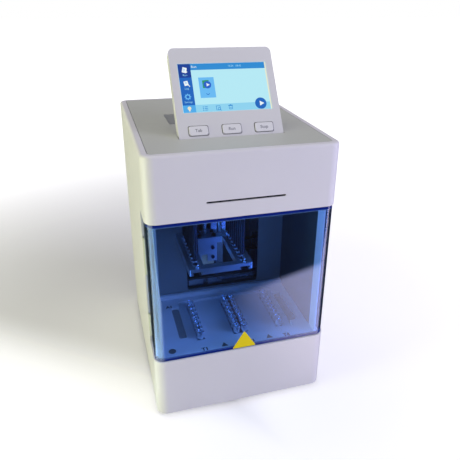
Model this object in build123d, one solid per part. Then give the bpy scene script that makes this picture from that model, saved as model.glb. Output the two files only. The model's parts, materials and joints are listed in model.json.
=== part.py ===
"""Nucleic acid extractor: a bench instrument that moves magnetic rods and sleeves over a heated well plate.

Millimetres, +Z up, +X to the operator's right, +Y to the back. The origin is on the bench, under the middle of the
case. One function makes one piece, and the last lines write one STEP file for each.
"""
from build123d import *
import os
# ---------------------------------------------------------------- case
WIDTH = 204.0
DEPTH = 257.0
HEIGHT = 314.0            # moulded case, without feet and raised display
FOOT_HEIGHT = 4.0
FOOT_R = 8.0
FOOT_TAPER = 1.5          # bevel round the sole
FOOT_SIDES = 16
FOOT_INSET = 22.0         # foot centre from the case's sides
CORNER_R = 12.0
EDGE_R = 3.0
WALL = 3.0
LEDGE = 6.0               # width of the ledges that carry the top and rear panels
LEDGE_THICK = 3.0
BASE_HEIGHT = 75.5        # underside of the case to the window sill
WINDOW_HEIGHT = 169.3
PANEL_GAP = 0.6           # groove round an inset panel
SEAT_GAP = 0.15           # between pieces that are dropped in and screwed down

LEFT = -WIDTH / 2
RIGHT = WIDTH / 2
FRONT = -DEPTH / 2
BACK = DEPTH / 2
UNDER = FOOT_HEIGHT
SILL = UNDER + BASE_HEIGHT
LINTEL = SILL + WINDOW_HEIGHT
TOP = UNDER + HEIGHT

SHEET = 2.0               # folded sheet metal
BOTTOM_THICK = 2.0
FLOOR = UNDER + BOTTOM_THICK
FLOOR_VENT_COUNT = 9
FLOOR_VENT_PITCH = 9.0
FLOOR_VENT_LONG = 46.0
FLOOR_VENT_Y = FRONT + 60.0

# ---------------------------------------------------------------- top and rear panels
TOP_INSET = 7.5           # case side to the groove
TOP_THICK = 3.0
REAR_INSET = 11.0
REAR_THICK = 1.6
REAR_SUBFLUSH = 0.4

STATUS_SLOT_LEFT = 61.0   # light slot in the front of the cap, from the case's left side
STATUS_SLOT_RIGHT = 144.4
STATUS_SLOT_RISE = 18.2   # above the lintel
STATUS_SLOT_TALL = 2.2
STATUS_LENS_DEEP = 2.0

# ---------------------------------------------------------------- door and its hinges
DOOR_INSET = 1.2          # door face behind the case face
DOOR_THICK = 2.5
DOOR_WRAP = 40.2          # how far the door reaches back along both sides
DOOR_GAP = 0.6            # above and below
DOOR_CORNER_R = 5.0       # rear corners of both wings
HINGE_R = 1.8
HINGE_PIN_R = 0.9
RUN = 0.05                # radial running clearance of pins and shafts
HINGE_SWING = 0.35        # free space round a knuckle
HINGE_HEIGHTS = (30.0, 45.0)       # lower and upper hinge
HINGE_CENTRES = (24.0, 114.0)      # above the sill
LEAF_THICK = 0.9
LEAF_WIDE = 9.0
KNUCKLE_GAP = 0.25
CATCH_TALL = 24.0
CATCH_WIDE = 8.0
CATCH_GAP = 0.4

HINGE_X = LEFT + HINGE_R
HINGE_Y = FRONT + DOOR_WRAP + 1.2
CASE_EDGE_Y = HINGE_Y + 1.4        # rear edge of the window cut-out
DOOR_INNER = DOOR_INSET + DOOR_THICK

# ---------------------------------------------------------------- chamber
LINER_INSET = 11.0        # case side to the chamber's inner wall
CHAMBER_DEEP = 128.0      # case front to the chamber's back wall
LINER_FRONT = 8.0
HOOD_RISE = 49.2          # lintel to the chamber's ceiling
HOOD_FRONT = 22.0
SLOT_LEFT = 61.0          # opening in the back wall, from the case's left side
SLOT_RIGHT = 159.0
SLOT_TOP_MARGIN = 6.0     # ceiling to the opening
SLOT_LOW_MARGIN = 1.0     # tray lip to the opening
HEADER_THICK = 2.5
LIGHT_HALF = 72.0
LIGHT_WIDE = 9.0
LIGHT_TALL = 3.5

CHAMBER_BACK = FRONT + CHAMBER_DEEP
CEILING = LINTEL + HOOD_RISE

# ---------------------------------------------------------------- well plate and heaters
WELL_PITCH = 9.0
ROWS = 8
PLATE_X = 6.7             # centre of the plate seat from the case's middle
PLATE_FROM_FRONT = 69.8
PLATE_LONG = 127.76       # standard microplate footprint
PLATE_WIDE = 85.48
PLATE_PLAY = 0.9
SEAT_DEPTH = 3.5
TRAY_THICK = 2.5
LIP_TALL = 5.5
LIP_DEEP = 6.4
FINGER_DEEP = 10.0
FINGER_HALF = 32.0
HEATED_COLUMNS = (1, 6, 7, 12)
BOSS_R = 4.3
CUP_DEEP = 3.8
CUP_R = 3.4
CUP_BEVEL = 1.4
CUP_SIDES = 10            # facets of a cup and its boss
STRIP_HALF = 3.4
STRIP_SADDLE = 2.2        # bar below the cups' rims
STRIP_GAP = 0.3           # strip to its slot in the deck
STRIP_PROUD = 6.0         # cups above the tray's surface
HEATER_DROP = 12.0        # heater plate's top below the tray's surface
HEATER_THICK = 7.0
HEATER_LEG = 7.0
HEATER_LEG_INSET = 6.0
HEATER_MARGIN = 7.0

PLATE_Y = FRONT + PLATE_FROM_FRONT
TRAY_TOP = SILL
SEAT_FLOOR = TRAY_TOP - SEAT_DEPTH
HEATER_TOP = TRAY_TOP - HEATER_DROP

# ---------------------------------------------------------------- sleeve frame and rods (the head), at home
HOME_OFFSET = 3.5         # rods left of columns 1 and 7
X_TRAVEL = 48.5
COMB_TRAVEL = 45.0
ROD_TRAVEL = 48.0
FRAME_TOP = UNDER + 173.8
FRAME_THICK = 7.8
FRAME_WIDE = 72.8
FRAME_FRONT = FRONT + 26.5
FRAME_BACK = FRONT + 118.0
CHANNEL_WIDE = 10.8
CHANNEL_DEEP = 3.9
CHANNEL_LIP = 1.0
SLOT_WIDE = 8.0
SLOT_MARGIN = 3.8         # slot beyond the end rods
THIN_RAIL = 4.0
ROD_R = 2.9
ROD_SIDES = 10            # facets of a rod
ROD_TIP_CHAMFER = 1.2
ROD_BELOW = 4.2           # rod tip above the frame at home
ROD_LONG = 58.0
ROD_PLATE_THICK = 8.0
POST_R = 3.0
POST_SPREAD = 18.5
POST_FROM_FRONT = 112.0
TOWER_TALL = 84.0         # frame's top to the motor plate
TOWER_PLATE = 4.0
MOTOR_WIDE = 28.0
MOTOR_TALL = 28.0
MOTOR_CHAMFER = 3.0
MOTOR_CAP = 7.0           # end bells of a stepper motor
MOTOR_WAIST = 0.8         # the laminated middle is this much smaller
SCREW_R = 3.0
BRACKET_WIDE = 23.5
BRACKET_THICK = 4.0
BRACKET_TALL = 25.0
ARM_WIDE = 15.5
ARM_TALL = 12.0
FLAG_WIDE = 16.5
FLAG_TALL = 15.0
FLAG_THICK = 2.5
HEAD_SCREW_R = 2.6
HEAD_SCREW_TALL = 2.6
SCREW_SIDES = 12
SOCKET_R = 1.4
SOCKET_DEPTH = 0.7
SLEEVE_STOP_TALL = 1.6
SLEEVE_STOP_INSET = 3.6

COLUMN_LEFT = PLATE_X - 5.5 * WELL_PITCH - HOME_OFFSET
COLUMN_RIGHT = COLUMN_LEFT + 6 * WELL_PITCH
HEAD_X = (COLUMN_LEFT + COLUMN_RIGHT) / 2
FRAME_BOTTOM = FRAME_TOP - FRAME_THICK
POST_Y = FRONT + POST_FROM_FRONT
OPENING_BACK = FRONT + 97.0
TOWER_TOP = FRAME_TOP + TOWER_TALL
ROD_TIP = FRAME_TOP + ROD_BELOW
ROD_PLATE_Z = ROD_TIP + ROD_LONG

# ---------------------------------------------------------------- cross slide behind the chamber
RAIL_WIDE = 10.0
RAIL_TALL = 8.0
RAIL_CLEAR = 0.3          # block to rail
CROSS_RAIL_Y = FRONT + 144.0
CROSS_RAIL_Z = UNDER + 82.0        # underside of the rail
BEAM_WIDE = 16.0
BEAM_THICK = 4.0
GANTRY_INSET = 12.0
BLOCK_LONG = 20.0
BLOCK_WIDE = 20.0
BLOCK_TALL = 10.5
BLOCK_STARTS = (64.0, 90.0)        # from the case's left side, at home
CARRIAGE_LEFT = 80.0
CARRIAGE_RIGHT = 138.5
CARRIAGE_Y = FRONT + 156.0         # front face of the upright plate
CARRIAGE_THICK = 3.0
CARRIAGE_FLANGE = 8.0
FOOT_PLATE_FRONT = FRONT + 134.0
CARRIAGE_TOP = UNDER + 262.0
Z_RAIL_X = LEFT + 110.0
Z_RAIL_DEEP = 8.0
Z_RAIL_LOW = 6.0          # rail's lower end above the foot plate
SLIDER_WIDE = 26.0
SLIDER_TALL = 36.0
SLIDER_THICK = 12.0
SLIDER_Z = UNDER + 150.0
NUT_EAR_WIDE = 17.0
NUT_EAR_TALL = 13.0
COMB_SCREW_X = LEFT + 88.0
COMB_SCREW_Y = FRONT + 145.0
GUIDE_ROD_R = 4.0
GUIDE_ROD_Y = FRONT + 167.0
GUIDE_ROD_Z = UNDER + 283.0
BUSH_X = LEFT + 116.0     # at home
BUSH_LONG = 20.0
BUSH_HALF = 8.0
BELT_Y = FRONT + 172.0
BELT_WIDE = 6.0
BELT_THICK = 1.4
BELT_Z = UNDER + 118.0
PULLEY_R = 8.0
PULLEY_TEETH = 20
PULLEY_FROM_LEFT = 40.0
PULLEY_FROM_RIGHT = 28.0
TOOTH_GAP_WIDE = 1.2
TOOTH_GAP_DEEP = 0.6
X_MOTOR = 42.0
X_MOTOR_LONG = 34.0
SHAFT_R = 2.5
IDLER_PLATE_HALF = 14.0
END_PLATE_REACH = 8.0     # end plates above the guide rod
CABLE_WINDOW = 22.0

CARRIAGE_BASE = CROSS_RAIL_Z + RAIL_CLEAR + BLOCK_TALL
FOOT_PLATE_TOP = CARRIAGE_BASE + CARRIAGE_THICK
PULLEY_MARGIN = 1.0       # pulley wider than the belt on each side
GANTRY_BACK = BELT_Y + BELT_WIDE / 2 + 1.5 * PULLEY_MARGIN + SHEET
DRIVE_X = LEFT + PULLEY_FROM_LEFT
IDLER_X = RIGHT - PULLEY_FROM_RIGHT

# ---------------------------------------------------------------- display, modelled lying flat about its hinge axis
DISPLAY_WIDE = 113.4
DISPLAY_THICK = 11.0
DISPLAY_LONG = 101.6      # hinge axis to the far edge
DISPLAY_TILT = 56.4       # degrees above the flat, folded place
DISPLAY_CORNER_R = 6.0
DISPLAY_WALL = 2.0
DISPLAY_HINGE_FROM_FRONT = 55.3
DISPLAY_PIN_R = 1.9
DISPLAY_PIN_REACH = 7.0
POCKET_GAP = 0.6
POCKET_REAR_GAP = 3.0
POCKET_CLEAR = 1.0
POCKET_WALL = 2.0
POCKET_CORNER_R = 1.0
BOSS_WALL = 4.0
SCREEN_WIDE = 97.2
SCREEN_TALL = 53.9
SCREEN_START = 30.0       # hinge axis to the screen's near edge
SCREEN_THICK = 2.4
SCREEN_RECESS = 0.3
BUTTON_WIDE = 20.3
BUTTON_TALL = 10.1
BUTTON_R = 2.6
BUTTON_START = 10.1       # hinge axis to the button row
BUTTON_SPREAD = 35.6
BUTTON_GAP = 0.35
BUTTON_PROUD = 0.9
BUTTON_FLANGE = 1.0
BUTTON_TRAVEL = 0.7
BUTTON_EDGE = 0.4

DISPLAY_Y = FRONT + DISPLAY_HINGE_FROM_FRONT
DISPLAY_Z = TOP - DISPLAY_THICK / 2
POCKET_HALF = DISPLAY_WIDE / 2 + POCKET_GAP
POCKET_FRONT = DISPLAY_Y - DISPLAY_THICK / 2 - POCKET_GAP
POCKET_BACK = DISPLAY_Y + DISPLAY_LONG + POCKET_REAR_GAP
POCKET_FLOOR = TOP - DISPLAY_THICK - POCKET_CLEAR

# ---------------------------------------------------------------- rear services
FAN_SIZE = 60.0
FAN_THICK = 15.0
FAN_BORE_R = 28.0
FAN_HUB_R = 12.0
FAN_BLADES = 7
FAN_CHAMFER = 3.0
FAN_BLADE_PITCH = 38      # degrees
FAN_BLADE_LONG = 12.0
FAN_BLADE_THICK = 1.2
GUARD_RING_R = 17.0
GUARD_BAR = 2.4
FAN_X = 40.0
FAN_Z = UNDER + 245.0
VENT_LONG = 50.0
VENT_TALL = 3.0
VENT_PITCH = 7.0
VENT_COUNT = 8
INLET_X = 48.0
INLET_Z = UNDER + 34.0
INLET_WIDE = 27.0
INLET_TALL = 20.0
INLET_DEEP = 17.0
SOCKET_WIDE = 24.0
SOCKET_TALL = 16.0
SOCKET_DEEP = 13.0
SWITCH_X = 16.0
SWITCH_WIDE = 13.0
SWITCH_TALL = 19.0
SWITCH_ROCK = 9.0
USB_X = -52.0
USB_WIDE = 13.0
USB_TALL = 5.6
SUPPLY_X = -20.0
SUPPLY_WIDE = 98.0
SUPPLY_TALL = 38.0
SUPPLY_FRONT_GAP = 30.0   # chamber's back wall to the supply
SUPPLY_REAR_GAP = 8.0     # supply to the mains inlet's back
SUPPLY_SLOT_PITCH = 12.0
SUPPLY_SLOT_WIDE = 4.0
SUPPLY_SLOT_MARGIN = 12.0
BOARD_TALL = 120.0
BOARD_THICK = 1.6
BOARD_STANDOFF = 6.0
BOARD_SPACER_R = 2.5
BOARD_INSET = 5.0         # spacer to the board's edge
BOARD_FRONT_GAP = 6.0
BOARD_REAR_GAP = 8.5
BOARD_RISE = 10.0         # above the cross motor
CONNECTORS = 5
CONNECTOR_PITCH = 20.0
CONNECTOR_LONG = 12.0
CONNECTOR_DEEP = 8.0
CONNECTOR_TALL = 6.0
CHIP_SIDE = 18.0
CHIP_TALL = 2.0

BUTTON_XS = (-BUTTON_SPREAD, 0.0, BUTTON_SPREAD)
FACE = DISPLAY_THICK / 2                 # the display's front, from its hinge axis
JAMB_Y = CASE_EDGE_Y + 1.5               # front face of the jambs beside the chamber
ROCKER_Y = BACK - 5.2


# ---------------------------------------------------------------- helpers
def block(x0, x1, y0, y1, z0, z1):
    """A block between two opposite corners."""
    middle = Pos((x0 + x1) / 2, (y0 + y1) / 2, (z0 + z1) / 2)
    return middle * Box(x1 - x0, y1 - y0, z1 - z0)


def slab(x0, x1, y0, y1, z0, z1, r):
    """A block whose four upright edges are rounded."""
    outline = Pos((x0 + x1) / 2, (y0 + y1) / 2, z0) * RectangleRounded(x1 - x0, y1 - y0, r)
    return extrude(outline, amount=z1 - z0)


def rod_x(x0, x1, y, z, r):
    """A cylinder along X."""
    return Pos((x0 + x1) / 2, y, z) * Rot(0, 90, 0) * Cylinder(r, x1 - x0)


def rod_y(x, y0, y1, z, r):
    """A cylinder along Y."""
    return Pos(x, (y0 + y1) / 2, z) * Rot(90, 0, 0) * Cylinder(r, y1 - y0)


def rod_z(x, y, z0, z1, r):
    """A cylinder along Z."""
    return Pos(x, y, (z0 + z1) / 2) * Cylinder(r, z1 - z0)


def case_outline(inset, z0, z1):
    """The case's rounded plan, inset evenly, between two heights."""
    r = max(CORNER_R - inset, 1.0)
    return slab(LEFT + inset, RIGHT - inset, FRONT + inset, BACK - inset, z0, z1, r)


def group(pieces):
    """Separate solids that share one node."""
    return Compound(children=list(pieces))


def column_x(number):
    """X of a plate column, 1 to 12 from the left."""
    return PLATE_X + (number - 6.5) * WELL_PITCH


def row_ys():
    """Y of the eight rows, from the front to the back."""
    return [PLATE_Y + (i - (ROWS - 1) / 2) * WELL_PITCH for i in range(ROWS)]


# ---------------------------------------------------------------- case pieces
def status_slot(y0, y1, shrink):
    """The long round-ended light slot in the front of the cap."""
    length = STATUS_SLOT_RIGHT - STATUS_SLOT_LEFT - 2 * shrink
    middle = LEFT + (STATUS_SLOT_LEFT + STATUS_SLOT_RIGHT) / 2
    outline = SlotOverall(length, STATUS_SLOT_TALL - 2 * shrink)
    placed = Pos(middle, y1, LINTEL + STATUS_SLOT_RISE) * Rot(90, 0, 0) * outline
    return extrude(placed, amount=y1 - y0)


def hinge_spans():
    """Lower and upper end of each door hinge."""
    spans = []
    for tall, centre in zip(HINGE_HEIGHTS, HINGE_CENTRES):
        spans.append((SILL + centre - tall / 2, SILL + centre + tall / 2))
    return spans


def hinge_relief():
    """The free space that the hinge knuckles need in the door and in the case."""
    r = HINGE_R + HINGE_SWING
    return [rod_z(HINGE_X, HINGE_Y, z0 - 0.5, z1 + 0.5, r) for z0, z1 in hinge_spans()]


def outer_housing():
    """One moulding: the base, both sides, the back rim and the cap round a deep front window."""
    body = case_outline(0, UNDER, TOP)
    body = fillet(body.edges().group_by(Axis.Z)[-1], EDGE_R)
    roof = TOP - TOP_THICK - LEDGE_THICK
    cavity = slab(LEFT + WALL, RIGHT - WALL, FRONT + WALL, BACK - WALL - LEDGE_THICK / 2, UNDER, roof,
                  CORNER_R - WALL)
    body -= cavity
    recess = case_outline(TOP_INSET, TOP - TOP_THICK, TOP)
    body -= recess
    body -= case_outline(TOP_INSET + LEDGE, roof, TOP)
    window = block(LEFT, RIGHT, FRONT, CASE_EDGE_Y, SILL, LINTEL)
    window = fillet(window.edges().filter_by(Axis.X).group_by(Axis.Y)[-1], EDGE_R)
    body -= window
    body -= status_slot(FRONT, FRONT + WALL, 0)
    body -= rear_outline(REAR_INSET, BACK - REAR_THICK - REAR_SUBFLUSH, BACK)
    body -= rear_outline(REAR_INSET + LEDGE, BACK - WALL - LEDGE_THICK, BACK)
    for relief in hinge_relief():
        body -= relief
    return body


def rear_outline(inset, y0, y1):
    """The rounded outline of the rear panel, inset from the case's sides."""
    outline = RectangleRounded(WIDTH - 2 * inset, HEIGHT - 2 * inset, 4.0)
    placed = Pos(0, y1, UNDER + HEIGHT / 2) * Rot(90, 0, 0) * outline
    return extrude(placed, amount=y1 - y0)


def top_panel():
    """The inset top plate with the deep tub that the display folds into."""
    plate = case_outline(TOP_INSET + PANEL_GAP, TOP - TOP_THICK, TOP)
    tub = slab(-POCKET_HALF - POCKET_WALL, POCKET_HALF + POCKET_WALL, POCKET_FRONT - POCKET_WALL,
               POCKET_BACK + POCKET_WALL, POCKET_FLOOR - POCKET_WALL, TOP - TOP_THICK, 4.0)
    body = plate + tub
    for side in (-1, 1):
        ends = sorted((side * POCKET_HALF, side * (POCKET_HALF + POCKET_WALL + BOSS_WALL)))
        body += rod_x(ends[0], ends[1], DISPLAY_Y, DISPLAY_Z - 0.5, DISPLAY_THICK / 2 - 1.0)
    body -= slab(-POCKET_HALF, POCKET_HALF, POCKET_FRONT, POCKET_BACK, POCKET_FLOOR, TOP,
                 POCKET_CORNER_R)
    reach = POCKET_HALF + POCKET_WALL + BOSS_WALL
    body -= rod_x(-reach, reach, DISPLAY_Y, DISPLAY_Z, DISPLAY_PIN_R)
    return body


def rear_panel():
    """Folded sheet with the vents, the fan opening and the service cut-outs."""
    y1 = BACK - REAR_SUBFLUSH
    y0 = y1 - REAR_THICK
    body = rear_outline(REAR_INSET + PANEL_GAP, y0, y1)
    body -= rod_y(FAN_X, y0, y1, FAN_Z, FAN_BORE_R)
    for angle in range(0, 180, 45):
        bar = Box(2 * FAN_BORE_R + GUARD_BAR, REAR_THICK, GUARD_BAR)
        body += Pos(FAN_X, (y0 + y1) / 2, FAN_Z) * Rot(0, angle, 0) * bar
    ring = rod_y(FAN_X, y0, y1, FAN_Z, GUARD_RING_R + GUARD_BAR / 2)
    body += ring - rod_y(FAN_X, y0, y1, FAN_Z, GUARD_RING_R - GUARD_BAR / 2)
    for i in range(VENT_COUNT):
        z = FAN_Z - (i - (VENT_COUNT - 1) / 2) * VENT_PITCH
        body -= block(-FAN_X - VENT_LONG / 2, -FAN_X + VENT_LONG / 2, y0, y1, z - VENT_TALL / 2, z + VENT_TALL / 2)
    body -= block(INLET_X - INLET_WIDE / 2, INLET_X + INLET_WIDE / 2, y0, y1, INLET_Z - INLET_TALL / 2,
                  INLET_Z + INLET_TALL / 2)
    body -= block(SWITCH_X - SWITCH_WIDE / 2 - 1, SWITCH_X + SWITCH_WIDE / 2 + 1, y0, y1,
                  INLET_Z - SWITCH_TALL / 2 - 1, INLET_Z + SWITCH_TALL / 2 + 1)
    body -= block(USB_X - USB_WIDE / 2, USB_X + USB_WIDE / 2, y0, y1, INLET_Z - USB_TALL / 2,
                  INLET_Z + USB_TALL / 2)
    return body


def bottom_plate():
    """The steel floor that the feet and the inner frame stand on."""
    inset = WALL + SEAT_GAP
    body = slab(LEFT + inset, RIGHT - inset, FRONT + inset, BACK - inset - LEDGE_THICK / 2, UNDER, FLOOR,
                CORNER_R - inset)
    half = FLOOR_VENT_LONG / 2
    for i in range(FLOOR_VENT_COUNT):
        x = (i - (FLOOR_VENT_COUNT - 1) / 2) * FLOOR_VENT_PITCH
        body -= block(x - VENT_TALL / 2, x + VENT_TALL / 2, FLOOR_VENT_Y - half, FLOOR_VENT_Y + half, UNDER, FLOOR)
    return body


def feet():
    """Four tapered rubber feet."""
    foot = extrude(RegularPolygon(FOOT_R, FOOT_SIDES), amount=UNDER)
    foot = chamfer(foot.edges().group_by(Axis.Z)[0], FOOT_TAPER)
    spots = []
    for sx in (-1, 1):
        for sy in (-1, 1):
            spots.append(Pos(sx * (WIDTH / 2 - FOOT_INSET), sy * (DEPTH / 2 - FOOT_INSET), 0) * foot)
    return group(spots)


def status_lens():
    """The smoked light guide that fills the slot in the cap."""
    return status_slot(FRONT + WALL - STATUS_LENS_DEEP, FRONT + WALL, SEAT_GAP)


# ---------------------------------------------------------------- door
def door_window():
    """One clear blue sheet formed round both front corners."""
    z0 = SILL + DOOR_GAP
    z1 = LINTEL - DOOR_GAP
    body = case_outline(DOOR_INSET, z0, z1) - case_outline(DOOR_INNER, z0, z1)
    body -= block(LEFT, RIGHT, FRONT + DOOR_WRAP, BACK, z0, z1)
    rear = body.faces().group_by(Axis.Y)[-1].edges().filter_by(Axis.X)
    body = fillet(rear, DOOR_CORNER_R)
    for relief in hinge_relief():
        body -= relief
    return body


def knuckle(z0, z1):
    """One hinge knuckle, bored for the pin."""
    return rod_z(HINGE_X, HINGE_Y, z0, z1, HINGE_R)


def door_hinge_leaves():
    """The door's halves of both hinges: the middle knuckle and a leaf on the sheet's inner face."""
    inner = LEFT + DOOR_INNER + SEAT_GAP
    leaves = []
    for z0, z1 in hinge_spans():
        third = (z1 - z0) / 3
        low = z0 + third + KNUCKLE_GAP
        high = z1 - third - KNUCKLE_GAP
        leaf = block(inner, inner + LEAF_THICK, HINGE_Y - LEAF_WIDE, HINGE_Y - HINGE_R - HINGE_SWING, z0, z1)
        leaf += block(inner, inner + LEAF_THICK, HINGE_Y - HINGE_R - HINGE_SWING, HINGE_Y, low, high)
        leaf += block(HINGE_X, inner + LEAF_THICK, FRONT + DOOR_WRAP + SEAT_GAP, HINGE_Y, low, high)
        leaf += knuckle(low, high)
        leaves.append(leaf - rod_z(HINGE_X, HINGE_Y, z0, z1, HINGE_PIN_R + RUN))
    return group(leaves)


def case_hinge_leaves():
    """The case's halves of both hinges: two knuckles each and a leaf inside the case wall."""
    inner = LEFT + WALL + SEAT_GAP
    start = HINGE_Y + HINGE_R + HINGE_SWING
    leaves = []
    for z0, z1 in hinge_spans():
        third = (z1 - z0) / 3
        leaf = block(inner, inner + LEAF_THICK, start, start + LEAF_WIDE, z0, z1)
        for low, high in ((z0, z0 + third), (z1 - third, z1)):
            leaf += block(HINGE_X, inner + LEAF_THICK, HINGE_Y, CASE_EDGE_Y - SEAT_GAP, low, high)
            leaf += block(inner, inner + LEAF_THICK, HINGE_Y, start, low, high)
            leaf += knuckle(low, high)
        leaves.append(leaf - rod_z(HINGE_X, HINGE_Y, z0, z1, HINGE_PIN_R))
    return group(leaves)


def hinge_pins():
    """The two steel pins, fast in the case's knuckles."""
    return group([rod_z(HINGE_X, HINGE_Y, z0, z1, HINGE_PIN_R) for z0, z1 in hinge_spans()])


def catch_centre():
    """Height of the door catch."""
    return SILL + WINDOW_HEIGHT / 2


def door_strike():
    """The steel strip inside the door's free side that the magnet holds."""
    z = catch_centre()
    y1 = FRONT + DOOR_WRAP - 1.5
    x1 = RIGHT - DOOR_INNER - SEAT_GAP
    return block(x1 - LEAF_THICK, x1, y1 - CATCH_WIDE, y1, z - CATCH_TALL / 2, z + CATCH_TALL / 2)


def door_magnet():
    """The catch magnet, on the jamb beside the chamber's right wall."""
    z = catch_centre()
    y1 = FRONT + DOOR_WRAP - 1.5
    x1 = RIGHT - DOOR_INNER - SEAT_GAP - LEAF_THICK - CATCH_GAP
    x0 = RIGHT - LINER_INSET + SHEET + SEAT_GAP
    body = block(x0, x1, y1 - CATCH_WIDE, JAMB_Y - SEAT_GAP, z - CATCH_TALL / 2, z + CATCH_TALL / 2)
    return body


# ---------------------------------------------------------------- chamber
def chamber_liner(side):
    """One inner side wall with the jamb that closes the gap to the case."""
    inner = side * (WIDTH / 2 - LINER_INSET)
    outer = inner + side * SHEET
    reach = side * (WIDTH / 2 - WALL - LEAF_THICK - 2 * SEAT_GAP - 0.2)
    x0, x1 = sorted((inner, outer))
    j0, j1 = sorted((outer, reach))
    top = CEILING - SEAT_GAP
    body = block(x0, x1, FRONT + LINER_FRONT, CHAMBER_BACK - SEAT_GAP, SILL, top)
    body += block(j0, j1, JAMB_Y, JAMB_Y + SHEET, SILL, LINTEL - SEAT_GAP)
    return body


def chamber_hood():
    """Back wall, ceiling and front apron, folded from one sheet, with the opening for the head's arm."""
    half = WIDTH / 2 - LINER_INSET + SHEET
    low = SILL + SEAT_GAP
    body = block(-half, half, CHAMBER_BACK, CHAMBER_BACK + SHEET, low, CEILING + SHEET)
    body += block(-half, half, FRONT + HOOD_FRONT, CHAMBER_BACK, CEILING, CEILING + SHEET)
    body += block(-half, half, FRONT + HOOD_FRONT, FRONT + HOOD_FRONT + SHEET, LINTEL + HEADER_THICK, CEILING)
    for side in (-1, 1):
        x0, x1 = sorted((side * (half - SHEET), side * (half + SEAT_GAP)))
        body -= block(x0, x1, FRONT + HOOD_FRONT, CHAMBER_BACK - SEAT_GAP, LINTEL, CEILING)
    slot = block(LEFT + SLOT_LEFT, LEFT + SLOT_RIGHT, CHAMBER_BACK, CHAMBER_BACK + SHEET,
                 SILL + LIP_TALL + SLOT_LOW_MARGIN, CEILING - SLOT_TOP_MARGIN)
    body -= fillet(slot.edges().filter_by(Axis.Y), 3.0)
    return body


def door_header():
    """The moulded return under the cap that carries the lamp."""
    body = case_outline(WALL + SEAT_GAP, LINTEL, LINTEL + HEADER_THICK)
    body -= block(LEFT, RIGHT, JAMB_Y + SHEET, BACK, LINTEL, LINTEL + HEADER_THICK)
    edge = WIDTH / 2 - LINER_INSET + SHEET + SEAT_GAP
    body -= block(-edge, edge, FRONT + HOOD_FRONT, BACK, LINTEL, LINTEL + HEADER_THICK)
    for x0, x1 in ((-edge, -edge + SHEET + 2 * SEAT_GAP), (edge - SHEET - 2 * SEAT_GAP, edge)):
        body -= block(x0, x1, FRONT + LINER_FRONT - SEAT_GAP, BACK, LINTEL, LINTEL + HEADER_THICK)
    return body


def light_bar():
    """The diffuser of the chamber lamp."""
    y = FRONT + HOOD_FRONT - LIGHT_WIDE / 2 - 1.5
    return slab(-LIGHT_HALF, LIGHT_HALF, y - LIGHT_WIDE / 2, y + LIGHT_WIDE / 2, LINTEL - LIGHT_TALL, LINTEL, 2.0)


def deck_tray():
    """The moulded deck: a well-plate seat with finger notches, heater slots and a raised rear lip."""
    inset = WALL + SEAT_GAP
    body = case_outline(inset, TRAY_TOP - TRAY_THICK, TRAY_TOP)
    body -= block(LEFT, RIGHT, CHAMBER_BACK - SEAT_GAP, BACK, TRAY_TOP - TRAY_THICK, TRAY_TOP)
    lip_half = WIDTH / 2 - LINER_INSET - SEAT_GAP
    lip = block(-lip_half, lip_half, CHAMBER_BACK - SEAT_GAP - LIP_DEEP, CHAMBER_BACK - SEAT_GAP, TRAY_TOP,
                TRAY_TOP + LIP_TALL)
    body += fillet(lip.edges().filter_by(Axis.X).group_by(Axis.Z)[-1], 2.0)
    half_x = PLATE_LONG / 2 + PLATE_PLAY
    half_y = PLATE_WIDE / 2 + PLATE_PLAY
    low = SEAT_FLOOR - TRAY_THICK
    cut_x = half_x + FINGER_DEEP
    body += block(PLATE_X - half_x - TRAY_THICK, PLATE_X + half_x + TRAY_THICK, PLATE_Y - half_y - TRAY_THICK,
                  PLATE_Y + half_y + TRAY_THICK, low, TRAY_TOP - TRAY_THICK)
    body += block(PLATE_X - cut_x - TRAY_THICK, PLATE_X + cut_x + TRAY_THICK, PLATE_Y - FINGER_HALF - TRAY_THICK,
                  PLATE_Y + FINGER_HALF + TRAY_THICK, low, TRAY_TOP - TRAY_THICK)
    body -= slab(PLATE_X - half_x, PLATE_X + half_x, PLATE_Y - half_y, PLATE_Y + half_y, SEAT_FLOOR, TRAY_TOP, 3.0)
    body -= slab(PLATE_X - cut_x, PLATE_X + cut_x, PLATE_Y - FINGER_HALF, PLATE_Y + FINGER_HALF, SEAT_FLOOR,
                 TRAY_TOP, 3.0)
    half = BOSS_R + STRIP_GAP
    reach = (ROWS - 1) / 2 * WELL_PITCH + half
    for number in HEATED_COLUMNS:
        x = column_x(number)
        body -= block(x - half, x + half, PLATE_Y - reach, PLATE_Y + reach, low, SEAT_FLOOR)
    return body


def heater_strip(number):
    """A scalloped aluminium bar with one shallow cup under each well of its column."""
    x = column_x(number)
    ys = row_ys()
    top = TRAY_TOP + STRIP_PROUD
    body = block(x - STRIP_HALF, x + STRIP_HALF, ys[0], ys[-1], HEATER_TOP, top - STRIP_SADDLE)
    boss = extrude(RegularPolygon(BOSS_R, CUP_SIDES), amount=top - SEAT_FLOOR)
    cup = Pos(0, 0, -CUP_DEEP) * extrude(RegularPolygon(CUP_R, CUP_SIDES), amount=CUP_DEEP)
    cup = chamfer(cup.edges().group_by(Axis.Z)[0], CUP_BEVEL)
    for y in ys:
        body += Pos(x, y, SEAT_FLOOR) * boss
    for y in ys:
        body -= Pos(x, y, top) * cup
    return body


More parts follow.
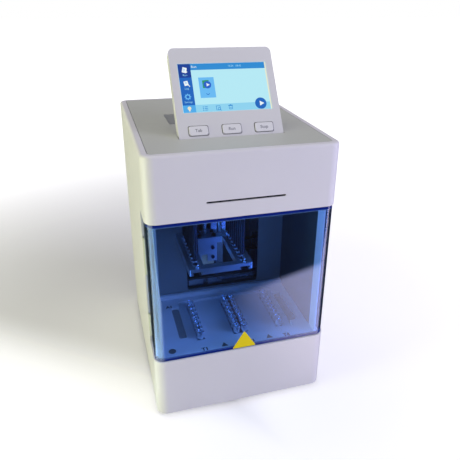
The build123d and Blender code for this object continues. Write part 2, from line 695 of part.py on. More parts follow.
def heater_base():
    """The aluminium plate that heats the strips, on four legs."""
    x0 = column_x(1) - HEATER_MARGIN
    x1 = column_x(12) + HEATER_MARGIN
    ys = row_ys()
    y0 = ys[0] - HEATER_MARGIN
    y1 = ys[-1] + HEATER_MARGIN
    body = slab(x0, x1, y0, y1, HEATER_TOP - HEATER_THICK, HEATER_TOP, 3.0)
    half = HEATER_LEG / 2
    for x in (x0 + HEATER_LEG_INSET, x1 - HEATER_LEG_INSET):
        for y in (y0 + HEATER_LEG_INSET, y1 - HEATER_LEG_INSET):
            body += block(x - half, x + half, y - half, y + half, FLOOR, HEATER_TOP - HEATER_THICK)
    return body


# ---------------------------------------------------------------- head
def comb_frame():
    """The sleeve carrier: two lipped channels underneath, a long slot above each, and an open middle."""
    x0 = HEAD_X - FRAME_WIDE / 2
    x1 = HEAD_X + FRAME_WIDE / 2
    body = slab(x0, x1, FRAME_FRONT, FRAME_BACK, FRAME_BOTTOM, FRAME_TOP, 2.0)
    ys = row_ys()
    reach_front = ys[0] - SLOT_MARGIN
    reach_back = ys[-1] + SLOT_MARGIN
    for x in (COLUMN_LEFT, COLUMN_RIGHT):
        half = CHANNEL_WIDE / 2
        body -= block(x - half, x + half, FRAME_FRONT, FRAME_BACK - 8.0, FRAME_BOTTOM + 1.0,
                      FRAME_BOTTOM + CHANNEL_DEEP)
        mouth = half - CHANNEL_LIP
        body -= block(x - mouth, x + mouth, FRAME_FRONT, FRAME_BACK - 8.0, FRAME_BOTTOM, FRAME_BOTTOM + 1.0)
        body -= slab(x - SLOT_WIDE / 2, x + SLOT_WIDE / 2, reach_front, reach_back, FRAME_BOTTOM, FRAME_TOP, 3.9)
    inner = SLOT_WIDE / 2 + THIN_RAIL
    body -= slab(COLUMN_LEFT + inner, COLUMN_RIGHT - inner, reach_front, OPENING_BACK, FRAME_BOTTOM, FRAME_TOP, 2.0)
    body -= rod_z(HEAD_X, POST_Y, FRAME_BOTTOM + 2.5, FRAME_TOP, SCREW_R + RUN)
    return body


def comb_bracket():
    """The angle and arm that carry the sleeve frame out through the chamber's back wall."""
    x0 = HEAD_X - BRACKET_WIDE / 2
    x1 = HEAD_X + BRACKET_WIDE / 2
    top = FRAME_BOTTOM
    flange_low = top - BRACKET_THICK
    body = block(x0, x1, OPENING_BACK, FRAME_BACK, flange_low, top)
    body += block(x0, x1, OPENING_BACK, OPENING_BACK + BRACKET_THICK, top - BRACKET_TALL, flange_low)
    notch_right = x0 + BRACKET_WIDE / 2
    body -= block(x0 + BRACKET_THICK, notch_right, OPENING_BACK, OPENING_BACK + BRACKET_THICK,
                  top - BRACKET_TALL, top - BRACKET_TALL + 9.5)
    arm_left = x1 - ARM_WIDE
    body += block(arm_left, x1, OPENING_BACK + BRACKET_THICK, slider_front(), flange_low - ARM_TALL, flange_low)
    return body


def slider_front():
    """Front face of the sleeve slider."""
    return CARRIAGE_Y - Z_RAIL_DEEP - SLIDER_THICK + RAIL_TALL / 2


def comb_screws():
    """Socket screws through the sleeve frame's rear bar, and the two sleeve stops at its front corners."""
    screws = []
    for x in (HEAD_X - 9.0, HEAD_X + 9.0):
        for y in (OPENING_BACK + 5.0, POST_Y + 1.5):
            head = extrude(RegularPolygon(HEAD_SCREW_R, SCREW_SIDES), amount=HEAD_SCREW_TALL)
            socket = Pos(0, 0, HEAD_SCREW_TALL - SOCKET_DEPTH) * extrude(RegularPolygon(SOCKET_R, 6),
                                                                         amount=SOCKET_DEPTH)
            screws.append(Pos(x, y, FRAME_TOP) * (head - socket))
    for x in (COLUMN_LEFT, COLUMN_RIGHT):
        stop = extrude(RegularPolygon(HEAD_SCREW_R, SCREW_SIDES), amount=SLEEVE_STOP_TALL)
        screws.append(Pos(x, FRAME_FRONT + SLEEVE_STOP_INSET, FRAME_TOP) * stop)
    return group(screws)


def comb_slider():
    """The block on the upright rail, with the ear that holds the lead-screw nut."""
    front = slider_front()
    back = front + SLIDER_THICK
    x0 = Z_RAIL_X - SLIDER_WIDE / 2
    x1 = Z_RAIL_X + SLIDER_WIDE / 2
    body = block(x0, x1, front, back, SLIDER_Z, SLIDER_Z + SLIDER_TALL)
    half = RAIL_WIDE / 2 + RAIL_CLEAR
    body -= block(Z_RAIL_X - half, Z_RAIL_X + half, CARRIAGE_Y - Z_RAIL_DEEP - RAIL_CLEAR, back, SLIDER_Z,
                  SLIDER_Z + SLIDER_TALL)
    ear_low = FRAME_BOTTOM - BRACKET_THICK - ARM_TALL
    body += block(x0 - NUT_EAR_WIDE, x0, front, COMB_SCREW_Y + SCREW_R + 3.0, ear_low, ear_low + NUT_EAR_TALL)
    body -= rod_z(COMB_SCREW_X, COMB_SCREW_Y, ear_low, ear_low + NUT_EAR_TALL, SCREW_R + RUN)
    return body


def sensor_flag():
    """The pale insulating plate behind the bracket."""
    x0 = HEAD_X - BRACKET_WIDE / 2 + BRACKET_THICK
    z1 = FRAME_BOTTOM - BRACKET_THICK - ARM_TALL - SEAT_GAP
    y0 = OPENING_BACK + BRACKET_THICK
    return block(x0, x0 + FLAG_WIDE, y0, y0 + FLAG_THICK, z1 - FLAG_TALL, z1)


def head_tower():
    """Two guide posts on the sleeve frame and the motor plate across them."""
    body = slab(HEAD_X - POST_SPREAD - 8.0, HEAD_X + POST_SPREAD + 8.0, POST_Y - MOTOR_WIDE / 2,
                POST_Y + MOTOR_WIDE / 2, TOWER_TOP, TOWER_TOP + TOWER_PLATE, 4.0)
    for side in (-1, 1):
        body += rod_z(HEAD_X + side * POST_SPREAD, POST_Y, FRAME_TOP, TOWER_TOP, POST_R)
    body -= rod_z(HEAD_X, POST_Y, TOWER_TOP, TOWER_TOP + TOWER_PLATE, SCREW_R + RUN)
    return body


def small_motor(x, y, z0):
    """A square stepper motor with chamfered corners, standing on its mounting face."""
    half = MOTOR_WIDE / 2
    body = block(x - half, x + half, y - half, y + half, z0, z0 + MOTOR_TALL)
    body = chamfer(body.edges().filter_by(Axis.Z), MOTOR_CHAMFER)
    z1 = z0 + MOTOR_CAP
    z2 = z0 + MOTOR_TALL - MOTOR_CAP
    core = half - MOTOR_WAIST
    middle = block(x - half, x + half, y - half, y + half, z1, z2)
    return body - (middle - block(x - core, x + core, y - core, y + core, z1, z2))


def lead_screw(x, y, z0, z1):
    """A lead screw's plain outer form with a turned-down lower end."""
    return rod_z(x, y, z0, z1, SCREW_R)


def rod_plate():
    """The plate that carries the rods, with guide holes for the posts and the nut's hole."""
    x0 = COLUMN_LEFT - 6.0
    x1 = COLUMN_RIGHT + 6.0
    ys = row_ys()
    body = slab(x0, x1, ys[0] - 6.0, POST_Y + 8.0, ROD_PLATE_Z, ROD_PLATE_Z + ROD_PLATE_THICK, 3.0)
    for side in (-1, 1):
        body -= rod_z(HEAD_X + side * POST_SPREAD, POST_Y, ROD_PLATE_Z, ROD_PLATE_Z + ROD_PLATE_THICK, POST_R + RUN)
    body -= rod_z(HEAD_X, POST_Y, ROD_PLATE_Z, ROD_PLATE_Z + ROD_PLATE_THICK, SCREW_R + RUN)
    return body


def magnet_rods():
    """Sixteen magnetic rods in two rows of eight, each with a rounded tip."""
    rod = extrude(RegularPolygon(ROD_R, ROD_SIDES), amount=ROD_LONG)
    rod = chamfer(rod.edges().group_by(Axis.Z)[0], ROD_TIP_CHAMFER)
    rods = []
    for x in (COLUMN_LEFT, COLUMN_RIGHT):
        for y in row_ys():
            rods.append(Pos(x, y, ROD_TIP) * rod)
    return group(rods)


# ---------------------------------------------------------------- cross slide
def cross_rails():
    """The lower linear rail and the upper round guide rod."""
    x0 = LEFT + GANTRY_INSET + BRACKET_THICK
    x1 = RIGHT - GANTRY_INSET - BRACKET_THICK
    half = RAIL_WIDE / 2
    rail = block(x0, x1, CROSS_RAIL_Y - half, CROSS_RAIL_Y + half, CROSS_RAIL_Z, CROSS_RAIL_Z + RAIL_TALL)
    for sign in (-1, 1):
        y0, y1 = sorted((CROSS_RAIL_Y + sign * half, CROSS_RAIL_Y + sign * (half - 1.2)))
        rail -= block(x0, x1, y0, y1, CROSS_RAIL_Z + 3.0, CROSS_RAIL_Z + 5.0)
    rod = rod_x(x0, x1, GUIDE_ROD_Y, GUIDE_ROD_Z, GUIDE_ROD_R)
    return group([rail, rod])


def gantry_frame():
    """End plates, cross beam, motor plate and idler plate of the cross slide."""
    y0 = CROSS_RAIL_Y - BEAM_WIDE / 2
    body = block(LEFT + GANTRY_INSET, RIGHT - GANTRY_INSET, y0, y0 + BEAM_WIDE, CROSS_RAIL_Z - BEAM_THICK,
                 CROSS_RAIL_Z)
    for side in (-1, 1):
        x0, x1 = sorted((side * (WIDTH / 2 - GANTRY_INSET), side * (WIDTH / 2 - GANTRY_INSET - BRACKET_THICK)))
        plate = block(x0, x1, y0, GANTRY_BACK, FLOOR, GUIDE_ROD_Z + END_PLATE_REACH)
        middle = (y0 + GANTRY_BACK) / 2
        window = GUIDE_ROD_Z - BELT_Z - CABLE_WINDOW
        body += plate - block(x0, x1, middle - CABLE_WINDOW / 2, middle + CABLE_WINDOW / 2,
                              BELT_Z + window / 2, BELT_Z + window / 2 + CABLE_WINDOW)
    inner = LEFT + GANTRY_INSET + BRACKET_THICK
    half = X_MOTOR / 2
    body += block(inner, DRIVE_X + half, GANTRY_BACK - SHEET, GANTRY_BACK, BELT_Z - half, BELT_Z + half)
    body -= rod_y(DRIVE_X, GANTRY_BACK - SHEET, GANTRY_BACK, BELT_Z, SHAFT_R + PULLEY_MARGIN)
    body += block(IDLER_X - PULLEY_R - PULLEY_MARGIN, RIGHT - GANTRY_INSET - BRACKET_THICK, GANTRY_BACK - SHEET,
                  GANTRY_BACK, BELT_Z - IDLER_PLATE_HALF, BELT_Z + IDLER_PLATE_HALF)
    body += rod_y(IDLER_X, BELT_Y - BELT_WIDE / 2 - PULLEY_MARGIN, GANTRY_BACK - SHEET, BELT_Z, SHAFT_R)
    return body


def guide_blocks():
    """The bearing blocks of the cross carriage: two on the rail and one on the guide rod."""
    pieces = []
    half = RAIL_WIDE / 2 + RAIL_CLEAR
    for start in BLOCK_STARTS:
        x0 = LEFT + start
        body = block(x0, x0 + BLOCK_LONG, CROSS_RAIL_Y - BLOCK_WIDE / 2, CROSS_RAIL_Y + BLOCK_WIDE / 2,
                     CROSS_RAIL_Z + RAIL_CLEAR, CARRIAGE_BASE)
        body -= block(x0, x0 + BLOCK_LONG, CROSS_RAIL_Y - half, CROSS_RAIL_Y + half, CROSS_RAIL_Z,
                      CROSS_RAIL_Z + RAIL_TALL + RAIL_CLEAR)
        pieces.append(body)
    x0 = BUSH_X - BUSH_LONG / 2
    y0 = CARRIAGE_Y + CARRIAGE_THICK
    bush = block(x0, x0 + BUSH_LONG, y0, GUIDE_ROD_Y + BUSH_HALF, GUIDE_ROD_Z - BUSH_HALF, GUIDE_ROD_Z + BUSH_HALF)
    pieces.append(bush - rod_x(x0, x0 + BUSH_LONG, GUIDE_ROD_Y, GUIDE_ROD_Z, GUIDE_ROD_R + RUN))
    return group(pieces)


def cross_carriage():
    """Folded sheet: a foot on the bearing blocks, a flanged upright, the motor shelf and the belt clamp."""
    x0 = LEFT + CARRIAGE_LEFT
    x1 = LEFT + CARRIAGE_RIGHT
    y0 = CARRIAGE_Y
    y1 = CARRIAGE_Y + CARRIAGE_THICK
    body = block(LEFT + BLOCK_STARTS[0], x1, FOOT_PLATE_FRONT, y1, CARRIAGE_BASE, FOOT_PLATE_TOP)
    body += block(x0, x1, y0, y1, FOOT_PLATE_TOP, CARRIAGE_TOP)
    for a, b in ((x0, x0 + CARRIAGE_THICK), (x1 - CARRIAGE_THICK, x1)):
        body += block(a, b, y1, y1 + CARRIAGE_FLANGE, FOOT_PLATE_TOP, CARRIAGE_TOP - 40.0)
    shelf_left = COMB_SCREW_X - MOTOR_WIDE / 2
    body += block(shelf_left, x1, COMB_SCREW_Y - MOTOR_WIDE / 2, y1, CARRIAGE_TOP - CARRIAGE_THICK, CARRIAGE_TOP)
    body += block(BUSH_X - BUSH_LONG / 2, BUSH_X + BUSH_LONG / 2, y0, y1, CARRIAGE_TOP, GUIDE_ROD_Z + BUSH_HALF)
    body += block(COMB_SCREW_X - 8.0, COMB_SCREW_X + 8.0, COMB_SCREW_Y - 8.0, y0, FOOT_PLATE_TOP, FOOT_PLATE_TOP + 5.0)
    body -= rod_z(COMB_SCREW_X, COMB_SCREW_Y, FOOT_PLATE_TOP, FOOT_PLATE_TOP + 5.0, SCREW_R + RUN)
    body -= rod_z(COMB_SCREW_X, COMB_SCREW_Y, CARRIAGE_TOP - CARRIAGE_THICK, CARRIAGE_TOP, SCREW_R + RUN)
    upper_run = BELT_Z + PULLEY_R + BELT_THICK
    body += block(Z_RAIL_X - 8.0, Z_RAIL_X + 8.0, y1, BELT_Y + BELT_WIDE / 2, upper_run + RAIL_CLEAR,
                  upper_run + RAIL_CLEAR + 4.0)
    return body


def z_rail():
    """The upright rail that guides the sleeve slider."""
    half = RAIL_WIDE / 2
    low = FOOT_PLATE_TOP + Z_RAIL_LOW
    high = CARRIAGE_TOP - CARRIAGE_THICK
    rail = block(Z_RAIL_X - half, Z_RAIL_X + half, CARRIAGE_Y - Z_RAIL_DEEP, CARRIAGE_Y, low, high)
    for sign in (-1, 1):
        x0, x1 = sorted((Z_RAIL_X + sign * half, Z_RAIL_X + sign * (half - 1.2)))
        rail -= block(x0, x1, CARRIAGE_Y - 5.0, CARRIAGE_Y - 3.0, low, high)
    return rail


def toothed_pulley(x, y0, y1):
    """A belt pulley with square tooth gaps between two flanges."""
    body = rod_y(x, y0, y1, BELT_Z, PULLEY_R)
    gap = Pos(PULLEY_R, 0, 0) * Box(2 * TOOTH_GAP_DEEP, y1 - y0 - 2 * PULLEY_MARGIN, TOOTH_GAP_WIDE)
    for i in range(PULLEY_TEETH):
        body -= Pos(x, (y0 + y1) / 2, BELT_Z) * Rot(0, 360 * i / PULLEY_TEETH, 0) * gap
    return body


def drive_pulley():
    """The toothed pulley on the cross motor's shaft."""
    half = BELT_WIDE / 2 + PULLEY_MARGIN
    body = toothed_pulley(DRIVE_X, BELT_Y - half, BELT_Y + half)
    return body - rod_y(DRIVE_X, BELT_Y - half, BELT_Y + half, BELT_Z, SHAFT_R + RUN)


def idler_pulley():
    """The plain pulley that turns the belt at the right."""
    half = (BELT_WIDE + PULLEY_MARGIN) / 2
    body = rod_y(IDLER_X, BELT_Y - half, BELT_Y + half, BELT_Z, PULLEY_R)
    return body - rod_y(IDLER_X, BELT_Y - half, BELT_Y + half, BELT_Z, SHAFT_R + RUN)


def drive_belt():
    """The closed belt round both pulleys, a running clearance above them."""
    inner = PULLEY_R + RUN
    outer = inner + BELT_THICK - 0.1
    y0 = BELT_Y - BELT_WIDE / 2
    y1 = BELT_Y + BELT_WIDE / 2
    return belt_form(y0, y1, outer) - belt_form(y0, y1, inner)


def belt_form(y0, y1, r):
    """A round-ended bar in the belt's plane."""
    body = block(DRIVE_X, IDLER_X, y0, y1, BELT_Z - r, BELT_Z + r)
    return body + rod_y(DRIVE_X, y0, y1, BELT_Z, r) + rod_y(IDLER_X, y0, y1, BELT_Z, r)


def cross_motor():
    """The stepper motor of the cross slide, behind its plate."""
    half = X_MOTOR / 2
    body = block(DRIVE_X - half, DRIVE_X + half, GANTRY_BACK, GANTRY_BACK + X_MOTOR_LONG, BELT_Z - half,
                 BELT_Z + half)
    body = chamfer(body.edges().filter_by(Axis.Y), MOTOR_CHAMFER)
    return body + rod_y(DRIVE_X, BELT_Y - BELT_WIDE / 2 - PULLEY_MARGIN, GANTRY_BACK, BELT_Z, SHAFT_R)


# ---------------------------------------------------------------- display
def on_display(shape):
    """Stands a piece that was modelled lying flat up at the display's resting angle."""
    return Pos(0, DISPLAY_Y, DISPLAY_Z) * Rot(DISPLAY_TILT, 0, 0) * shape


def display_form(shrink):
    """The display's outer form, lying flat: full round at the hinge, rounded corners at the far edge."""
    half = DISPLAY_WIDE / 2 - shrink
    t = DISPLAY_THICK / 2 - shrink
    far = DISPLAY_LONG - shrink
    body = block(-half, half, 0, far, -t, t)
    body = fillet(body.edges().filter_by(Axis.Z).group_by(Axis.Y)[-1], max(DISPLAY_CORNER_R - shrink, 1.0))
    return body + rod_x(-half, half, 0, 0, t)


def screen_opening(z0, z1, grow):
    """The space of the screen glass."""
    half = SCREEN_WIDE / 2 + grow
    return block(-half, half, SCREEN_START - grow, SCREEN_START + SCREEN_TALL + grow, z0, z1)


def button_form(x, z0, z1, grow):
    """One button's rounded plan between two depths."""
    wide = BUTTON_WIDE / 2 + grow
    tall = BUTTON_TALL / 2 + grow
    return slab(x - wide, x + wide, BUTTON_START - tall, BUTTON_START + tall, z0, z1, BUTTON_R + max(grow, 0.0))


def display_bezel():
    """The front moulding round the screen and the three buttons."""
    body = display_form(0) - display_form(DISPLAY_WALL)
    body -= block(-DISPLAY_WIDE, DISPLAY_WIDE, -DISPLAY_THICK, DISPLAY_LONG + 1.0, -DISPLAY_THICK, 0)
    body -= screen_opening(0, FACE, SEAT_GAP)
    for x in BUTTON_XS:
        body -= button_form(x, 0, FACE, BUTTON_GAP)
    for side in (-1, 1):
        x0, x1 = sorted((side * DISPLAY_WIDE / 2, side * (DISPLAY_WIDE / 2 - DISPLAY_WALL)))
        body -= rod_x(x0, x1, 0, 0, DISPLAY_PIN_R + RUN)
    return on_display(body)


def display_back_cover():
    """The rear moulding with the two hinge sockets."""
    body = display_form(0) - display_form(DISPLAY_WALL)
    lower = block(-DISPLAY_WIDE, DISPLAY_WIDE, -DISPLAY_THICK, DISPLAY_LONG + 1.0, -DISPLAY_THICK, 0)
    body = body & lower
    for side in (-1, 1):
        inner = side * (DISPLAY_WIDE / 2 - DISPLAY_PIN_REACH - 1.5)
        x0, x1 = sorted((side * (DISPLAY_WIDE / 2 - DISPLAY_WALL), inner))
        body += rod_x(x0, x1, 0, 0, DISPLAY_THICK / 2 - DISPLAY_WALL)
        h0, h1 = sorted((side * DISPLAY_WIDE / 2, side * (DISPLAY_WIDE / 2 - DISPLAY_PIN_REACH)))
        body -= rod_x(h0, h1, 0, 0, DISPLAY_PIN_R + RUN)
    return on_display(body)


def display_board():
    """The circuit board behind the screen and the buttons."""
    half = DISPLAY_WIDE / 2 - DISPLAY_WALL - SEAT_GAP
    z1 = FACE - DISPLAY_WALL - BUTTON_FLANGE - BUTTON_TRAVEL - 0.6
    body = block(-half, half, BUTTON_START - 4.0, DISPLAY_LONG - DISPLAY_WALL - 3.0, z1 - 1.2, z1)
    for x in BUTTON_XS:
        body += block(x - 3.0, x + 3.0, BUTTON_START - 3.0, BUTTON_START + 3.0, z1, z1 + 0.3)
    return on_display(body)


def touch_screen():
    """The screen glass."""
    z1 = FACE - SCREEN_RECESS
    return on_display(screen_opening(z1 - SCREEN_THICK, z1, 0))


def push_button(x):
    """One push button: a cap through the bezel and a wider flange behind it."""
    flange_top = FACE - DISPLAY_WALL - SEAT_GAP
    body = button_form(x, flange_top, FACE + BUTTON_PROUD, 0)
    body = chamfer(body.edges().group_by(Axis.Z)[-1], BUTTON_EDGE)
    wide = BUTTON_WIDE / 2 + BUTTON_FLANGE
    tall = BUTTON_TALL / 2 + BUTTON_FLANGE
    body += block(x - wide, x + wide, BUTTON_START - tall, BUTTON_START + tall, flange_top - BUTTON_FLANGE,
                  flange_top)
    return on_display(body)


def display_pins():
    """The two friction pins that carry the display, fast in the tub's bosses."""
    pins = []
    for side in (-1, 1):
        x0, x1 = sorted((side * (DISPLAY_WIDE / 2 - DISPLAY_PIN_REACH + 0.3),
                         side * (POCKET_HALF + POCKET_WALL + BOSS_WALL)))
        pins.append(rod_x(x0, x1, DISPLAY_Y, DISPLAY_Z, DISPLAY_PIN_R))
    return group(pins)


# ---------------------------------------------------------------- rear services
def rear_inside():
    """Inner face of the rear panel."""
    return BACK - REAR_SUBFLUSH - REAR_THICK


def fan_frame():
    """The square fan frame behind the upper grille, with its hub on four struts."""
    y1 = rear_inside()
    y0 = y1 - FAN_THICK
    half = FAN_SIZE / 2
    body = block(FAN_X - half, FAN_X + half, y0, y1, FAN_Z - half, FAN_Z + half)
    body = chamfer(body.edges().filter_by(Axis.Y), FAN_CHAMFER)
    body -= rod_y(FAN_X, y0, y1, FAN_Z, FAN_BORE_R)
    for angle in (45, 135):
        body += Pos(FAN_X, y0 + 1.0, FAN_Z) * Rot(0, angle, 0) * Box(2 * FAN_BORE_R + 2, 2.0, 3.0)
    body += rod_y(FAN_X, y0, y0 + 2.0, FAN_Z, FAN_HUB_R)
    body += rod_y(FAN_X, y0 + 2.0, y1 - 3.0, FAN_Z, SHAFT_R)
    return body


def fan_rotor():
    """The fan's hub and pitched blades."""
    y1 = rear_inside() - 1.5
    y0 = rear_inside() - FAN_THICK + 2.5
    body = rod_y(FAN_X, y0, y1, FAN_Z, FAN_HUB_R)
    middle = (y0 + y1) / 2
    reach = FAN_BORE_R - FAN_HUB_R - 0.3
    for i in range(FAN_BLADES):
        blade = Box(reach, FAN_BLADE_LONG, FAN_BLADE_THICK)
        blade = Pos(FAN_HUB_R - 1.0 + reach / 2, 0, 0) * Rot(FAN_BLADE_PITCH, 0, 0) * blade
        body += Pos(FAN_X, middle, FAN_Z) * Rot(0, 360 / FAN_BLADES * i, 0) * blade
    return body - rod_y(FAN_X, y0, y1 - 1.0, FAN_Z, SHAFT_R + RUN)


def power_inlet():
    """The mains inlet: a flanged shell round a deep socket with three pins."""
    y1 = BACK
    y0 = rear_inside() - INLET_DEEP
    gap = 0.2
    body = block(INLET_X - INLET_WIDE / 2 + gap, INLET_X + INLET_WIDE / 2 - gap, y0, BACK - REAR_SUBFLUSH,
                 INLET_Z - INLET_TALL / 2 + gap, INLET_Z + INLET_TALL / 2 - gap)
    flange = slab(-INLET_WIDE / 2 - 2, INLET_WIDE / 2 + 2, -INLET_TALL / 2 - 2, INLET_TALL / 2 + 2, 0,
                  REAR_SUBFLUSH, 2.0)
    body += Pos(INLET_X, y1, INLET_Z) * Rot(90, 0, 0) * flange
    mouth = block(INLET_X - SOCKET_WIDE / 2, INLET_X + SOCKET_WIDE / 2, y1 - SOCKET_DEEP, y1,
                  INLET_Z - SOCKET_TALL / 2, INLET_Z + SOCKET_TALL / 2)
    body -= chamfer(mouth.edges().filter_by(Axis.Y).group_by(Axis.Z)[-1], 4.0)
    for x, z in ((-7.0, -2.0), (7.0, -2.0), (0.0, 2.0)):
        body += block(INLET_X + x - 1.0, INLET_X + x + 1.0, y1 - SOCKET_DEEP, y1 - 2.0, INLET_Z + z - 2.0,
                      INLET_Z + z + 2.0)
    return body


def switch_body():
    """The frame of the mains switch, with the pin its rocker turns on."""
    y1 = BACK
    y0 = rear_inside() - 12.0
    body = block(SWITCH_X - SWITCH_WIDE / 2 - 0.8, SWITCH_X + SWITCH_WIDE / 2 + 0.8, y0, y1,
                 INLET_Z - SWITCH_TALL / 2 - 0.8, INLET_Z + SWITCH_TALL / 2 + 0.8)
    body -= block(SWITCH_X - SWITCH_WIDE / 2 + 0.4, SWITCH_X + SWITCH_WIDE / 2 - 0.4, y0 + 2.0, y1,
                  INLET_Z - SWITCH_TALL / 2 + 0.4, INLET_Z + SWITCH_TALL / 2 - 0.4)
    body += rod_x(SWITCH_X - SWITCH_WIDE / 2, SWITCH_X + SWITCH_WIDE / 2, ROCKER_Y, INLET_Z, 1.0)
    return body


def power_switch():
    """The rocker: a shallow V seen from the side, tipped to its OFF side."""
    wide = SWITCH_WIDE / 2 - 0.8
    half = SWITCH_TALL / 2 - 1.6
    outline = Polyline((-1.6, -2.0), (-1.6, 2.0), (2.9, half), (3.9, half - 0.4), (2.4, 0), (3.9, -half + 0.4),
                       (2.9, -half), close=True)
    face = Plane.YZ * make_face(outline)
    body = extrude(face, amount=wide, both=True)
    body -= rod_x(-wide, wide, 0, 0, 1.0 + RUN)
    return Pos(SWITCH_X, ROCKER_Y, INLET_Z) * Rot(SWITCH_ROCK, 0, 0) * body


def usb_port():
    """A metal-shelled data port."""
    y1 = BACK - REAR_SUBFLUSH
    y0 = y1 - 14.0
    half_x = USB_WIDE / 2 - 0.2
    half_z = USB_TALL / 2 - 0.2
    body = block(USB_X - half_x, USB_X + half_x, y0, y1, INLET_Z - half_z, INLET_Z + half_z)
    body -= block(USB_X - half_x + 0.5, USB_X + half_x - 0.5, y0 + 1.0, y1, INLET_Z - half_z + 0.5,
                  INLET_Z + half_z - 0.5)
    body += block(USB_X - half_x + 1.0, USB_X + half_x - 1.0, y0 + 1.0, y1 - 2.0, INLET_Z + 0.2, INLET_Z + half_z - 0.7)
    return body


def power_supply():
    """The enclosed power supply on the floor, with a vented lid."""
    y0 = CHAMBER_BACK + SUPPLY_FRONT_GAP
    y1 = rear_inside() - INLET_DEEP - SUPPLY_REAR_GAP
    top = FLOOR + SUPPLY_TALL
    body = block(SUPPLY_X - SUPPLY_WIDE / 2, SUPPLY_X + SUPPLY_WIDE / 2, y0, y1, FLOOR, top)
    half = SUPPLY_SLOT_WIDE / 2
    for i in range(-3, 4):
        x = SUPPLY_X + i * SUPPLY_SLOT_PITCH
        body -= block(x - half, x + half, y0 + SUPPLY_SLOT_MARGIN, y1 - SUPPLY_SLOT_MARGIN, top - 1.0, top)
    return body


def control_board():
    """The main circuit board with its connectors, on four spacers against the left wall."""
    wall = LEFT + WALL
    x0 = wall + BOARD_STANDOFF
    x1 = x0 + BOARD_THICK
    y0 = GANTRY_BACK + BOARD_FRONT_GAP
    y1 = rear_inside() - BOARD_REAR_GAP
    z0 = BELT_Z + X_MOTOR / 2 + BOARD_RISE
    z1 = z0 + BOARD_TALL
    body = block(x0, x1, y0, y1, z0, z1)
    spacer = Rot(0, 90, 0) * extrude(RegularPolygon(BOARD_SPACER_R, 6), amount=BOARD_STANDOFF)
    for y in (y0 + BOARD_INSET, y1 - BOARD_INSET):
        for z in (z0 + BOARD_INSET, z1 - BOARD_INSET):
            body += Pos(wall, y, z) * spacer
    for i in range(CONNECTORS):
        z = (z0 + z1) / 2 + (i - (CONNECTORS - 1) / 2) * CONNECTOR_PITCH
        body += block(x1, x1 + CONNECTOR_TALL, y0 + BOARD_INSET, y0 + BOARD_INSET + CONNECTOR_DEEP,
                      z - CONNECTOR_LONG / 2, z + CONNECTOR_LONG / 2)
    y = y1 - BOARD_INSET - CHIP_SIDE
    z = (z0 + z1) / 2
    return body + block(x1, x1 + CHIP_TALL, y, y + CHIP_SIDE, z - CHIP_SIDE / 2, z + CHIP_SIDE / 2)


# ---------------------------------------------------------------- all pieces
def all_pieces():
    """Every node's name and solid."""
    pieces = {
        "outer_housing": outer_housing(),
        "top_panel": top_panel(),
        "rear_panel": rear_panel(),
        "bottom_plate": bottom_plate(),
        "feet": feet(),
        "status_lens": status_lens(),
        "door_window": door_window(),
        "door_hinge_leaves": door_hinge_leaves(),
        "case_hinge_leaves": case_hinge_leaves(),
        "door_hinge_pins": hinge_pins(),
        "door_strike": door_strike(),
        "door_magnet": door_magnet(),
        "chamber_liner_left": chamber_liner(-1),
        "chamber_liner_right": chamber_liner(1),
        "chamber_hood": chamber_hood(),
        "door_header": door_header(),
        "light_bar": light_bar(),
        "deck_tray": deck_tray(),
        "heater_base": heater_base(),
        "comb_frame": comb_frame(),
        "comb_bracket": comb_bracket(),
        "comb_screws": comb_screws(),
        "comb_slider": comb_slider(),
        "sensor_flag": sensor_flag(),
        "head_tower": head_tower(),
        "rod_motor": small_motor(HEAD_X, POST_Y, TOWER_TOP + TOWER_PLATE),
        "rod_lead_screw": lead_screw(HEAD_X, POST_Y, FRAME_BOTTOM + 2.8, TOWER_TOP + TOWER_PLATE - 0.2),
        "rod_plate": rod_plate(),
        "magnet_rods": magnet_rods(),
        "cross_rails": cross_rails(),
        "gantry_frame": gantry_frame(),
        "guide_blocks": guide_blocks(),
        "cross_carriage": cross_carriage(),
        "z_rail": z_rail(),
        "comb_motor": small_motor(COMB_SCREW_X, COMB_SCREW_Y, CARRIAGE_TOP),
        "comb_lead_screw": lead_screw(COMB_SCREW_X, COMB_SCREW_Y, FOOT_PLATE_TOP + 0.3, CARRIAGE_TOP - 0.2),
        "drive_pulley": drive_pulley(),
        "idler_pulley": idler_pulley(),
        "drive_belt": drive_belt(),
        "cross_motor": cross_motor(),
        "display_bezel": display_bezel(),
        "display_back_cover": display_back_cover(),
        "display_board": display_board(),
        "touch_screen": touch_screen(),
        "display_pins": display_pins(),
        "fan_frame": fan_frame(),
        "fan_rotor": fan_rotor(),
        "power_inlet": power_inlet(),
        "switch_body": switch_body(),
        "power_switch": power_switch(),
        "usb_port": usb_port(),
        "power_supply": power_supply(),
        "control_board": control_board(),
    }
    for index, number in enumerate(HEATED_COLUMNS, start=1):
        pieces[f"heater_strip_{index}"] = heater_strip(number)
    for name, x in zip(("tab_button", "run_button", "stop_button"), BUTTON_XS):
        pieces[name] = push_button(x)
    return pieces


os.makedirs("parts", exist_ok=True)
for piece_name, piece in all_pieces().items():
    piece.label = piece_name
    export_step(piece, f"parts/{piece_name}.step")
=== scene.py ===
# %% [markdown]
# # A bench-top nucleic acid extractor
#
# The machine is a white moulded case with a clear blue door that wraps round both front corners. Behind the door a
# carriage lowers plastic sleeves and magnetic rods into a heated well plate. The construction, with every moving body,
# comes from the CAD model. This file gives it its finishes, its printed marks and its small turned parts.

import json
import math

import bpy
from mathutils import Matrix, Vector

